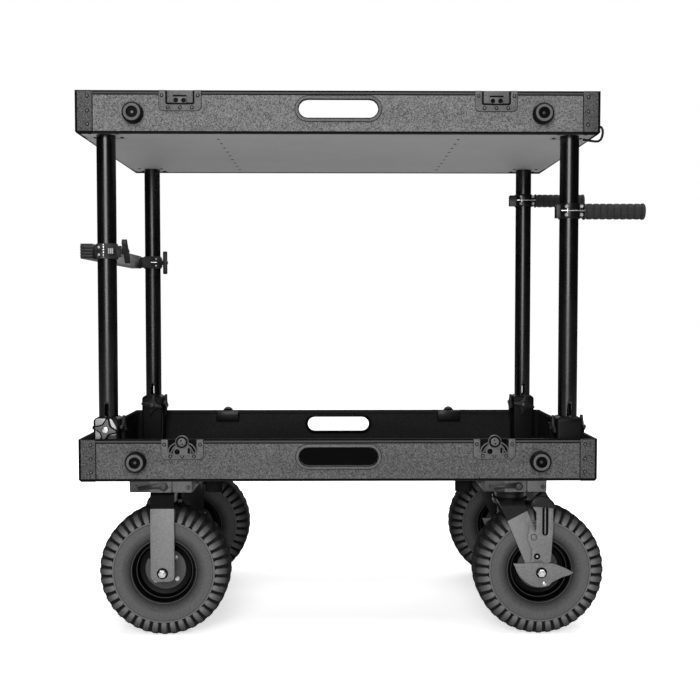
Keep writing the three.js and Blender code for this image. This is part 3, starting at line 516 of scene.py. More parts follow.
class Build:
    """A mesh under construction, in millimetres from the middle of the decks."""

    def __init__(self) -> None:
        """Starts empty."""
        self.mesh = bmesh.new()
        self.coats: list[Coat] = []

    def paint_index(self, coat: Coat) -> int:
        """The material slot of a coat, added where it is new."""
        if coat not in self.coats:
            self.coats.append(coat)
        return self.coats.index(coat)

    def take(self, part: bmesh.types.BMesh, coat: Coat, place: Matrix | None = None) -> None:
        """Adds a closed part in a finish, moved to its place, and frees it."""
        if place is not None:
            bmesh.ops.transform(part, matrix=place, verts=part.verts)
        bmesh.ops.recalc_face_normals(part, faces=part.faces)
        index = self.paint_index(coat)
        for face in part.faces:
            face.material_index = index
        held = bpy.data.meshes.new("part")
        part.to_mesh(held)
        part.free()
        self.mesh.from_mesh(held)
        bpy.data.meshes.remove(held)

    def box(self, low: Point, high: Point, coat: Coat, bevel: float, steps: int = 2) -> None:
        """A block between two corners with rounded edges."""
        part = bmesh.new()
        bmesh.ops.create_cube(part, size=1.0)
        ends = [sorted(pair) for pair in zip(low, high)]
        bmesh.ops.scale(part, vec=[h - l for l, h in ends], verts=part.verts)
        bmesh.ops.translate(part, vec=[(h + l) / 2 for l, h in ends], verts=part.verts)
        soften(part, part.edges[:], bevel, steps, False)
        self.take(part, coat)

    def turned(
        self, profile: Outline, place: Matrix, coat: Coat, sides: int, closed: bool = False
    ) -> None:
        """A turned body about the place's Z axis.

        Args:
            profile: Pairs of radius and place along the axis.
            place: The axis's frame.
            coat: Its finish.
            sides: Number of flat sides.
            closed: Whether the profile's end joins its start.
        """
        part = bmesh.new()
        angles = [2 * math.pi * step / sides for step in range(sides)]
        rings = []
        for radius, along in profile:
            spread = angles if radius > 1e-6 else [0.0]
            ring = [(radius * math.cos(a), radius * math.sin(a), along) for a in spread]
            rings.append([part.verts.new(point) for point in ring])
        for first, second in list(zip(rings, rings[1:])) + [(rings[-1], rings[0])] * closed:
            for step in range(sides):
                turns = (first, step), (second, step), (second, step + 1), (first, step + 1)
                corners = dict.fromkeys(ring[turn % len(ring)] for ring, turn in turns)
                if len(corners) > 2:
                    part.faces.new(tuple(corners))
        self.take(part, coat, place)

    def stack(self, place: Matrix, *parts: tuple[Outline, Coat, int]) -> None:
        """Turned bodies on one axis, each with its profile, coat and number of sides."""
        for profile, coat, sides in parts:
            self.turned(profile, place, coat, sides)

    def plate(
        self, outlines: Sequence[Outline], thickness: float, place: Matrix, coat: Coat, bevel: float
    ) -> None:
        """A flat plate with holes and rounded edges, from its back face at Z 0 of the place.

        Args:
            outlines: The outer outline, then the holes.
            thickness: The plate's thickness.
            place: The frame of the outline's plane.
            coat: Its finish.
            bevel: Radius of its edges.
        """
        curve = bpy.data.curves.new("outline", "CURVE")
        curve.dimensions, curve.fill_mode = "2D", "BOTH"
        curve.extrude = thickness / 2 - bevel
        curve.bevel_depth, curve.bevel_resolution, curve.offset = bevel, 1, -bevel
        for points in outlines:
            spline = curve.splines.new("POLY")
            spline.points.add(len(points) - 1)
            for point, (u, v) in zip(spline.points, points):
                point.co = (u, v, 0, 1)
            spline.use_cyclic_u = True
        holder = bpy.data.objects.new("outline", curve)
        held = bpy.data.meshes.new_from_object(holder)
        part = bmesh.new()
        part.from_mesh(held)
        bpy.data.meshes.remove(held)
        bpy.data.objects.remove(holder)
        bpy.data.curves.remove(curve)
        bmesh.ops.remove_doubles(part, verts=part.verts, dist=0.001)
        self.take(part, coat, moved(place, 0, 0, thickness / 2))

    def tube(self, path: Sequence[Vector], radius: float, coat: Coat, sides: int) -> None:
        """A round bar along a path, closed at its ends."""
        part = bmesh.new()
        rings = []
        turn, before = Quaternion(), TOP
        circle = [2 * math.pi * step / sides for step in range(sides)]
        for index, point in enumerate(path):
            ahead = path[min(index + 1, len(path) - 1)] - path[max(index - 1, 0)]
            ahead.normalize()
            turn = before.rotation_difference(ahead) @ turn
            before = ahead
            reaches = [Vector((radius * math.cos(a), radius * math.sin(a), 0)) for a in circle]
            rings.append([part.verts.new(point + turn @ reach) for reach in reaches])
        skin(part, rings)
        self.take(part, coat)

    def node_copy(
        self,
        node: str,
        coat: Coat,
        bevel: float,
        sharp: float = 32.0,
        proud: Pair | None = None,
    ) -> "Build":
        """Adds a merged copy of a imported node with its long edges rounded.

        Args:
            node: The node's name.
            coat: Its finish.
            bevel: Radius of the rounded edges, 0 for none.
            sharp: Least angle of an edge that is rounded, in degrees.
            proud: What stands out past the first depth is set back to the second, to be
                covered by finer parts.

        Returns:
            The build.
        """
        part = bmesh.new()
        part.from_mesh(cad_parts[node].data)
        bmesh.ops.scale(part, vec=(1 / MM,) * 3, verts=part.verts)
        bmesh.ops.translate(part, vec=(-MIDDLE_X, 0, 0), verts=part.verts)
        bmesh.ops.remove_doubles(part, verts=part.verts, dist=0.01)
        if proud:
            for vert in part.verts:
                if abs(vert.co.y) > proud[0]:
                    vert.co.y = math.copysign(proud[1], vert.co.y)
            bmesh.ops.dissolve_degenerate(part, edges=part.edges, dist=0.01)
        bmesh.ops.dissolve_limit(
            part, angle_limit=math.radians(0.8), verts=part.verts, edges=part.edges
        )
        if bevel:
            edges = [
                edge
                for edge in part.edges
                if len(edge.link_faces) == 2
                and edge.calc_length() > 3 * bevel
                and edge.calc_face_angle(0.0) > math.radians(sharp)
            ]
            soften(part, edges, bevel, 2, True)
        self.take(part, coat)
        return self

    def finished(self, name: str, middle: float = 0.0) -> Mesh:
        """The build as a mesh in metres, moved along X first. It ends the build."""
        bmesh.ops.translate(self.mesh, vec=(middle, 0, 0), verts=self.mesh.verts)
        bmesh.ops.scale(self.mesh, vec=(MM,) * 3, verts=self.mesh.verts)
        data = bpy.data.meshes.new(name)
        self.mesh.to_mesh(data)
        self.mesh.free()
        return data

    def piece(
        self, name: str, body: str, slot: str, stands_for: Iterable[str] = (), smooth: float = 34.0
    ) -> Object:
        """Turns the build into a piece of the cart, with the arguments that settle takes."""
        data = self.finished(name, MIDDLE_X)
        for coat in self.coats:
            data.materials.append(coat.material)
        return settle(data, name, body, stands_for, smooth)


# Fasteners and other repeats, laid out by geometry nodes


class Head(Enum):
    """Kinds of fastener heads."""

    RIVET = "rivet"
    SCREW = "screw"
    SOCKET = "socket_screw"
    NUT = "nut"


@dataclass(frozen=True)
class Fastener:
    """A fastener's head, seen from its outside."""

    kind: Head
    radius: float
    height: float
    coat: Coat

    def head(self) -> Object:
        """A small mesh of the head about the origin, Z outwards, kept out of the scene."""
        r, h = self.radius, self.height
        foot = [(0, -0.6), (r, -0.6)]
        if self.kind is Head.RIVET:
            parts = [([*foot, (r, 0), (r * 0.92, h * 0.55), (r * 0.6, h * 0.9), (0, h)], 10)]
        elif self.kind is Head.NUT:
            parts = [
                (stub(-0.6, (r * 1.3, h * 0.2)), 20),
                (stub(0, (r, h * 0.85), (r * 0.86, h)), 6),
                ([(0, h), (r * 0.5, h), (r * 0.5, h * 1.25), (0, h * 1.3)], 12),
            ]
        else:
            bore = r * (0.45 if self.kind is Head.SOCKET else 0.3)
            rim = [(r, h * 0.6), (r * 0.82, h), (bore, h)]
            parts = [([*foot, *rim, (bore * 0.9, h * 0.35), (0, h * 0.3)], 14)]
        build = Build()
        build.stack(Matrix(), *((profile, self.coat, sides) for profile, sides in parts))
        data = build.finished(f"{self.kind.value}_head")
        data.shade_smooth()
        data.set_sharp_from_angle(angle=math.radians(40))
        return bpy.data.objects.new(data.name, data)

    def put(self, name: str, spots: Spots, body: str, slot: str) -> Object:
        """Puts the fastener on each spot of a body, as one piece."""
        return scatter(name, self.head(), self.coat, spots, body)


def geometry_group(name: str, inputs: dict[str, tuple[str, object]]) -> tuple[Sheet, object]:
    """A geometry tree with its named inputs and one output."""
    inputs = {"Geometry": ("Geometry", None), **inputs, "Finish": ("Material", None)}
    return new_group("Geometry", name, inputs, ("Geometry",), "Geometry")


def set_on(sheet: Sheet, source: object, part: Socket, turn: Node, place: dict) -> Tree:
    """Ends a tree: a turned part is set on points, made real and given its finish."""
    part = sheet.add("GeometryNodeObjectInfo", {"Object": part}).outputs["Geometry"]
    inputs = {"Instance": part, "Rotation": turn.outputs["Rotation"], **place}
    instances = sheet.add("GeometryNodeInstanceOnPoints", inputs).outputs["Instances"]
    real = sheet.add("GeometryNodeRealizeInstances", {"Geometry": instances})
    inputs = {"Geometry": real.outputs["Geometry"], "Material": source["Finish"]}
    finish = sheet.add("GeometryNodeSetMaterial", inputs)
    return sheet.end({"Geometry": finish.outputs["Geometry"]})


@cache
def scatter_tree() -> Tree:
    """Heads on points, each turned to its own outward direction and spun by a fixed seed."""
    inputs = {"Size": ("Float", 1.0), "Spin": ("Float", 3.1), "Seed": ("Int", 7)}
    sheet, source = geometry_group("fastener_scatter", {"Head": ("Object", None), **inputs})
    out = sheet.add("GeometryNodeInputNamedAttribute", {"Name": "out"}, data_type="FLOAT_VECTOR")
    inputs = {"Vector": out.outputs["Attribute"]}
    align = sheet.add("FunctionNodeAlignRotationToVector", inputs, axis="Z")
    spin = sheet.add("FunctionNodeRandomValue", {"Seed": source["Seed"]}, data_type="FLOAT")
    floats = [socket for socket in spin.inputs if socket.type == "VALUE"]
    sheet.feed(floats[0], 0.0)
    sheet.feed(floats[1], source["Spin"])
    value = next(socket for socket in spin.outputs if socket.type == "VALUE")
    spun = sheet.add("FunctionNodeAxisAngleToRotation", {"Axis": (0, 0, 1), "Angle": value})
    inputs = {"Rotation": align.outputs["Rotation"], "Rotate By": spun.outputs["Rotation"]}
    turn = sheet.add("FunctionNodeRotateRotation", inputs, rotation_space="LOCAL")
    place = {"Points": source["Geometry"], "Scale": source["Size"]}
    return set_on(sheet, source, source["Head"], turn, place)


@cache
def ring_tree() -> Tree:
    """Copies of a part, evenly turned about the Y axis, starting from an angle."""
    inputs = {"Part": ("Object", None), "Count": ("Int", 36), "Start": ("Float", 0.0)}
    sheet, source = geometry_group("ring_array", inputs)
    points = sheet.add("GeometryNodeMeshLine", {"Count": source["Count"], "Offset": (0, 0, 0)})
    index = sheet.add("GeometryNodeInputIndex").outputs["Index"]
    share = sheet.math("DIVIDE", index, source["Count"])
    angle = sheet.math("ADD", sheet.math("MULTIPLY", share, 2 * math.pi), source["Start"])
    turn = sheet.add("FunctionNodeAxisAngleToRotation", {"Axis": (0, 1, 0), "Angle": angle})
    return set_on(sheet, source, source["Part"], turn, {"Points": points.outputs["Mesh"]})


def repeat(tree: Tree, points: Mesh, inputs: dict[str, object]) -> Mesh:
    """The plain mesh that a tree makes of a carrier mesh, with inputs by socket name."""
    carrier = link("carrier", points)
    modifier = carrier.modifiers.new("repeat", "NODES")
    modifier.node_group = tree
    for item in tree.interface.items_tree:
        if item.item_type == "SOCKET" and item.in_out == "INPUT" and item.name in inputs:
            modifier[item.identifier] = inputs[item.name]
    made = evaluated(carrier, modifier)
    bpy.data.objects.remove(carrier)
    return made


def scatter(name: str, part: Object, coat: Coat, spots: Spots, body: str) -> Object:
    """Copies of a small part on a body, as one piece.

    Args:
        name: The piece's name.
        part: The part, in metres about the origin, removed afterwards.
        coat: Its finish.
        spots: Places in millimetres and outward directions.
        body: The body that they ride on.

    Returns:
        The piece.
    """
    points = bpy.data.meshes.new("spots")
    points.from_pydata([spot(*place) for place, _ in spots], [], [])
    out = points.attributes.new("out", "FLOAT_VECTOR", "POINT")
    for index, (_, direction) in enumerate(spots):
        out.data[index].vector = direction
    bpy.context.scene.collection.objects.link(part)
    values = {"Head": part, "Size": 1.0, "Spin": 3.1, "Seed": 7, "Finish": coat.material}
    made = repeat(scatter_tree(), points, values)
    bpy.data.objects.remove(part)
    return settle(made, name, body, smooth=40)


def ring(part: Mesh, count: int, start: float, finish: Material) -> Mesh:
    """Copies of a part round the Y axis as one mesh, in the part's units."""
    holder = link("ring_part", part)
    values = {"Part": holder, "Count": count, "Start": start, "Finish": finish}
    made = repeat(ring_tree(), bpy.data.meshes.new("ring_carrier"), values)
    bpy.data.objects.remove(holder)
    return made


# The cart


@dataclass
class Deck:
    """One deck: its coated walls and floor with their trims, bumpers, latches and rivets."""

    level: str
    base: float
    body: str
    wall_face: float = 294.0
    corner_face: float = 295.0
    end_face: float = 517.0
    bumper_place: float = 403.0
    bumper_rise: float = 40.0
    slot_rise: float = 49.5
    corner_rivets: tuple[float, ...] = (19, 45, 73.5)
    floor_rivets: Pair = (245.0, 57.0)

    @property
    def is_lower(self) -> bool:
        """Whether it is the deck on the casters."""
        return self.level == "lower"

    def build(self) -> None:
        """Builds every piece of the deck."""
        self.shell()
        for row in ROWS:
            self.fittings(row)
        self.rivets()

    def shell(self) -> None:
        """The walls and the floor, rounded and coated."""
        wall = Coat.LOWER_WALL if self.is_lower else Coat.UPPER_WALL
        end = Coat.LOWER_END if self.is_lower else Coat.UPPER_END
        for side in ROWS + ENDS:
            node = f"{self.level}_wall_{side}"
            kept = (296.6, 293.2) if side in ROWS else None
            build = Build().node_copy(node, wall if side in ROWS else end, 0.5, proud=kept)
            build.piece(f"{node}_coated", self.body, "deck_coat", [node])
        node = f"{self.level}_floor"
        build = Build().node_copy(node, Coat.INSIDE if self.is_lower else Coat.PANEL, 0.4)
        lining = build.paint_index(Coat.INSIDE if self.is_lower else Coat.TRAY)
        for face in build.mesh.faces:
            if face.normal.z > 0.9:
                face.material_index = lining
        build.piece(f"{node}_panel", self.body, "deck_panel", [node])

    def place(self, x: float, rise: float, out: int, face: float) -> Matrix:
        """A frame on a long wall's outer face, X to the viewer's right."""
        return facing((x, out * face, self.base + rise), BACK * out)

    def fittings(self, row: str) -> None:
        """The slot trim, bumpers and latch plates of one long wall."""
        out, latch, build = sign(row), LATCH_X[row], Build()
        ring = [stadium(170.5, 49.5), stadium(156.6, 35.6)]
        face = self.place(0, self.slot_rise, out, self.wall_face - 0.3)
        build.plate(ring, 2.6, face, Coat.PLATE, 1.1)
        build.plate([stadium(172.4, 51.4), stadium(168, 47)], 1.4, face, Coat.TRIM, 0.2)
        inside = facing((0, out * 291.3, self.base + self.slot_rise), BACK * -out)
        build.plate(ring, 2.6, inside, Coat.TRIM, 1.1)
        tunnel = [stadium(160, 39), stadium(156.4, 35.4)]
        build.plate(tunnel, 6.2, self.place(0, self.slot_rise, out, 290.5), Coat.TRIM, 0.3)
        for side in SIDES:
            x, rise = side * self.bumper_place, self.bumper_rise
            self.bumper(build, self.place(x, rise, out, self.wall_face))
            self.latch_plate(build, self.place(side * latch, 0, out, self.wall_face))
            low = (side * latch - 29, out * 283.0, self.base + 57)
            high = (side * latch + 29, out * 291.2, self.base + 83.6)
            build.box(low, high, Coat.BLACK, 2.2, 3)
        build.piece(f"{self.level}_{row}_fittings", self.body, "black_metal")

    def bumper(self, build: Build, place: Matrix) -> None:
        """A round rubber bumper with a screw in its recess."""
        wall = [(0, -0.5), (20.7, -0.5), (20.7, 2), (20.4, 13), (19.6, 15.8), (18, 17.2)]
        edge = [(15, 18.1), (12.4, 18.0), (11.4, 17.2), (11.2, 12), (0, 12)]
        recess = [(11.3, 12.2), (11.45, 17.1), (10.9, 17.1), (10.2, 12.6), (0, 12.4)]
        build.stack(
            place,
            ([*wall, (16.4, 17.4)], Coat.RUBBER, 48),
            ([(0, 8), (16.6, 15), (16.6, 17.35), *edge], Coat.BUMPER_FACE, 48),
            ([(0, 11.8), (9.6, 11.8), *recess], Coat.TRIM, 32),
            ([(0, 12), (3.3, 12), (3.3, 13.6), (2.6, 14.3), (0, 14.5)], Coat.DARK_STEEL, 16),
        )

    def latch_plate(self, build: Build, place: Matrix) -> None:
        """The riveted plate with its open recess, and the upper deck's keeper block."""
        half, low, top, recess, shelf, bend = 41.5, 44.9, 84.7, 28.5, 57.0, 9.0
        outline = [
            (half, top),
            (recess, top),
            *arc((recess - 4, shelf + 4), 4, 0, -90, 3),
            *arc((-recess + 4, shelf + 4), 4, -90, -180, 3),
            (-recess, top),
            (-half, top),
            *arc((-half + bend, low + bend), bend, 180, 270, 6),
            *arc((half - bend, low + bend), bend, 270, 360, 6),
        ]
        border = [(u * 1.014, v if v > shelf else v - 0.6) for u, v in outline]
        lining = [
            (-recess, top - 0.3),
            *arc((-recess + 4, shelf + 4), 4, 180, 270, 3),
            *arc((recess - 4, shelf + 4), 4, 270, 360, 3),
            (recess, top - 0.3),
            (recess - 3.4, top - 0.3),
            *arc((recess - 5, shelf + 5), 1.6, 0, -90, 3),
            *arc((-recess + 5, shelf + 5), 1.6, -90, -180, 3),
            (-recess + 3.4, top - 0.3),
        ]
        backing = rounded(block((-26.4, 59.2), (26.4, 84.4)), 2)
        build.plate([outline], 2.6, place, Coat.PLATE, 0.7)
        build.plate([border], 1.9, place, Coat.TRIM, 0.2)
        build.plate([lining], 2.9, place, Coat.TRIM, 0.4)
        build.plate([backing], 0.8, place, Coat.TRIM if self.is_lower else Coat.PLATE, 0.3)
        if self.is_lower:
            return
        keeper = rounded(block((-13.6, 59.5), (13.6, 73)), 2.5)
        build.plate([keeper], 5.2, place, Coat.LATCH, 0.8)
        build.plate([stadium(27.4, 3.2, 6)], 5.6, moved(place, 0, 73.2, 0), Coat.TRIM, 0.4)
        screw = [(0, -1), (4.6, -1), (4.6, 0.6), (3.6, 1.4), (1.8, 1.4), (1.6, 0.5), (0, 0.4)]
        for side in SIDES:
            build.turned(screw, moved(place, side * 7.6, 64.6, 5.2), Coat.TRIM, 16)

    def rivets(self) -> None:
        """Rivets on corners, latch plates and floors, laid out as fields of points."""
        spots: list[tuple[Point, Vector]] = []
        end, corner, plate = self.end_face, self.corner_face, self.wall_face + 2.6
        for side in SIDES:
            for row, toward in zip(ROWS, (FRONT, BACK)):
                out, latch = sign(row), side * LATCH_X[row]
                for rise in self.corner_rivets:
                    z = self.base + rise
                    spots.append(((side * (end - 24), out * corner, z), toward))
                    spots.append(((side * end, out * (corner - 24), z), LEFT * -side))
                for x, rise in ((-35.4, 74.5), (35.4, 74.5), (-23.4, 51), (0, 51), (23.4, 51)):
                    spots.append(((latch + x, out * plate, self.base + rise), toward))
        steps = [(side, step) for side in SIDES for step in range(9)]
        x, pitch = self.floor_rivets
        under = [((side * x, -220 + pitch * step, self.base + 2.0), DOWN) for side, step in steps]
        seat = Fastener(Head.RIVET, 3.9, 0.9, Coat.TRIM)
        rivet = Fastener(Head.RIVET, 2.4, 1.6, Coat.RIVET)
        small = Fastener(Head.RIVET, 3.2, 1.0, Coat.TRIM)
        for name, fastener, field, slot in (
            ("wall_rivet_seats", seat, spots, "deck_coat"),
            ("wall_rivets", rivet, spots, "deck_coat"),
            ("floor_rivets", small, under, "deck_panel"),
        ):
            fastener.put(f"{self.level}_{name}", field, self.body, slot)
        if self.is_lower:
            return
        tops = [
            ((side * POST_X + x, out * POST_Y + y, self.base + 3.3), DOWN)
            for side in SIDES
            for out in SIDES
            for x in (-27, 27)
            for y in (-24, 24)
        ]
        screw = Fastener(Head.SCREW, 4.0, 1.6, Coat.TRIM)
        screw.put("upper_floor_screws", tops, self.body, "deck_panel")


@dataclass
class AtCorner:
    """What stands at one of the cart's four corners."""

    row: str
    end: str

    @property
    def name(self) -> str:
        """The corner's part of a name."""
        return f"{self.row}_{self.end}"

    @property
    def out(self) -> int:
        """-1 at the front and 1 at the back."""
        return sign(self.row)


@dataclass
class TwistLatch(AtCorner):
    """A twist latch: hub, slotted fan plate and two wire wings."""

    rise: float = 401.5
    face: float = 296.4

    def build(self) -> None:
        """Builds the latch."""
        x = LATCH_X[self.row] * sign(self.end)
        place = facing((x, self.out * self.face, self.rise), BACK * self.out)
        build = Build()
        upper = [(-10, 9), (10, 9), (12, -6), (19.5, -20)]
        fan = rounded([*upper, (15, -27), (-15, -27), (-19, -20), (-12, -6)], 6, 4)
        slot = [(u + 13.5, v - 18) for v, u in stadium(12.5, 4.6, 5)]
        build.plate([fan, slot], 2.8, place, Coat.LATCH, 0.6)
        build.stack(
            place,
            (stub(0, (13.2, 4.2), (12.4, 4.9)), Coat.LATCH, 32),
            (stub(4.5, (11.8, 5.2)), Coat.TRIM, 32),
            (stub(5, (8.2, 5.9), (7.4, 6.4)), Coat.LATCH, 28),
        )
        for u, v in ((-1.2, 3.2), (0.8, -3.8)):
            build.turned(stub(0, (1.7, 0.3)), moved(place, u, v, 6.3), Coat.TRIM, 12)
        boss = [(0, 0), (5.4, 0), (5.2, 1.2), (3.4, 2.4), (0, 2.8)]
        build.turned(boss, moved(place, -9.5, -19.5, 2.6), Coat.TRIM, 20)
        wing = [(10, -2), (16, -3.5), (22, -7.5), (26, -13), (27.6, -19), (25.4, -22.6)]
        wing += [(21.6, -20), (17.5, -12), (11, -6)]
        for side in SIDES:
            build.tube([place @ Vector((side * u, v, 2.3)) for u, v in wing], 1.4, Coat.PLATE, 10)
        name = f"twist_latch_{self.name}"
        build.piece(f"{name}_detailed", f"latch_{self.name}", "black_metal", [name])


@dataclass
class PostAndSocket(AtCorner):
    """A tube post with its slot, the cast socket that holds it and two star knobs."""

    faces: tuple[int, int]
    radius: float = 19.05
    low: float = 326.6
    high: float = 1012.4
    wall: float = 2.4
    slot_middle: float = 462.3
    slot_size: Pair = (25.0, 8.0)
    slot_margin: float = 18.0
    knob_rise: float = 424.5
    knob_reach: float = 27.0
    flange_reach: float = 27.5
    flange_top: float = 332.5

    @property
    def centre(self) -> Pair:
        """The post's place."""
        return (POST_X * sign(self.end), POST_Y * self.out)

    def build(self) -> None:
        """Builds the post, socket and knobs."""
        self.post()
        self.socket()
        for name, face in zip(("main", "side"), self.faces):
            self.star_knob(name, face)

    def post(self) -> None:
        """The tube, cut through from front to back near its foot."""
        x, y = self.centre
        build = Build()
        low, high = (self.slot_middle + side * self.slot_margin for side in SIDES)
        steps = (self.low, low, high, self.high)
        wall = [(self.radius, step) for step in steps]
        wall += [(self.radius - self.wall, step) for step in reversed(steps)]
        build.turned(wall, Matrix.Translation((x, y, 0)), Coat.POST, 64, closed=True)
        name = f"post_{self.name}"
        made = build.piece(f"{name}_tube", "upper", "post_tube", [name])
        tool = Build()
        through = facing((x, y + 30, self.slot_middle), FRONT)
        tool.plate([[(v, u) for u, v in stadium(*self.slot_size, 8)]], 60, through, Coat.POST, 0.01)
        cutter = link("slot_tool", tool.finished("slot_tool", MIDDLE_X))
        modifier = made.modifiers.new("slot", "BOOLEAN")
        modifier.operation, modifier.object, modifier.solver = "DIFFERENCE", cutter, "EXACT"
        made.data = evaluated(made, modifier)
        bpy.data.objects.remove(cutter)

    def socket(self) -> None:
        """The cast socket with its flange screws, and on the front left one thin plates of painted
        light over its face.
        """
        name = f"socket_{self.name}"
        build = Build().node_copy(name, Coat.CAST, 1.6, 28)
        x, y = self.centre
        screw = stub(-0.5, (3.4, 1.4), (2.6, 2.2), (1.3, 2.2), (1.2, 1))
        for side in SIDES:
            for end in SIDES:
                place = (x + side * self.flange_reach, y + end * self.flange_reach, self.flange_top)
                build.turned(screw, Matrix.Translation(place), Coat.DARK_STEEL, 14)
        # Only the front left socket gets these plates: painted light over its face, pale above and
        # dimmer below.
        if self.name == "front_left":
            front = facing((x, y - 25.9, self.knob_rise), FRONT)
            upper = [(-21, -30), (-8, -12), (21, -12), (21, 4), (11, 22), (-21, 22)]
            lower = [(-10, -30), (20.5, -30), (20.5, -13), (2, -13)]
            build.plate([rounded(upper, 5, 5)], 0.7, front, Coat.BRIGHT_CAST, 0.25)
            build.plate([rounded(lower, 3, 4)], 0.6, front, Coat.BAR, 0.2)
        build.piece(f"{name}_cast", "base", "cast_metal", [name])

    def star_knob(self, name: str, face: int) -> None:
        """A four-armed star knob with a metal hub, facing away from the post; the front left main
        one is painted as lit.
        """
        out = Matrix.Rotation(math.radians(face), 3, "Z") @ FRONT
        place = facing(tuple(Vector((*self.centre, self.knob_rise)) + out * self.knob_reach), out)
        # The front left main knob is painted as lit: black sides as painted shade, a light face and
        # a bright hub as painted highlight.
        painted_lit = (self.name, name) == ("front_left", "main")
        tips = []
        for arm in range(4):
            angle = 79 + 90 * arm
            tips += arc((0, 0), 26.2, angle - 6, angle + 6, 3)
            for spread in range(-30, 31, 10):
                reach = 13.2 + spread**2 * 0.0062
                bend = math.radians(angle + 45) + math.radians(spread)
                tips.append((reach * math.cos(bend), reach * math.sin(bend)))
        build = Build()
        build.plate([tips], 5.8, place, Coat.TRIM if painted_lit else Coat.KNOB, 1.4)
        inner = [(u * 0.8, v * 0.8) for u, v in tips]
        build.plate([inner], 6.0, place, Coat.LATCH if painted_lit else Coat.KNOB, 0.8)
        hub = stub(5, (6.3, 6.4), (5.2, 7.1), (2.4, 7.1), (2.1, 6.3))
        build.stack(
            place,
            (stub(-0.6, (7.6, 5.6), (7, 6.1)), Coat.TRIM, 24),
            (hub, Coat.STEEL if painted_lit else Coat.DARK_STEEL, 24),
        )
        node = f"star_knob_{self.name}_{name}"
        build.piece(f"{node}_moulded", f"star_{self.name}_{name}", "knob", [node])


@dataclass
class AtWheel(AtCorner):
    """What sits about one of the four axles."""

    rise: float = 132.5

    @property
    def is_swivel(self) -> bool:
        """Whether the caster turns on a kingpin."""
        return self.end == "right"

    @property
    def centre(self) -> Point:
        """The wheel's middle."""
        return (410.0 if self.is_swivel else -355.0, 225.0 * self.out, self.rise)


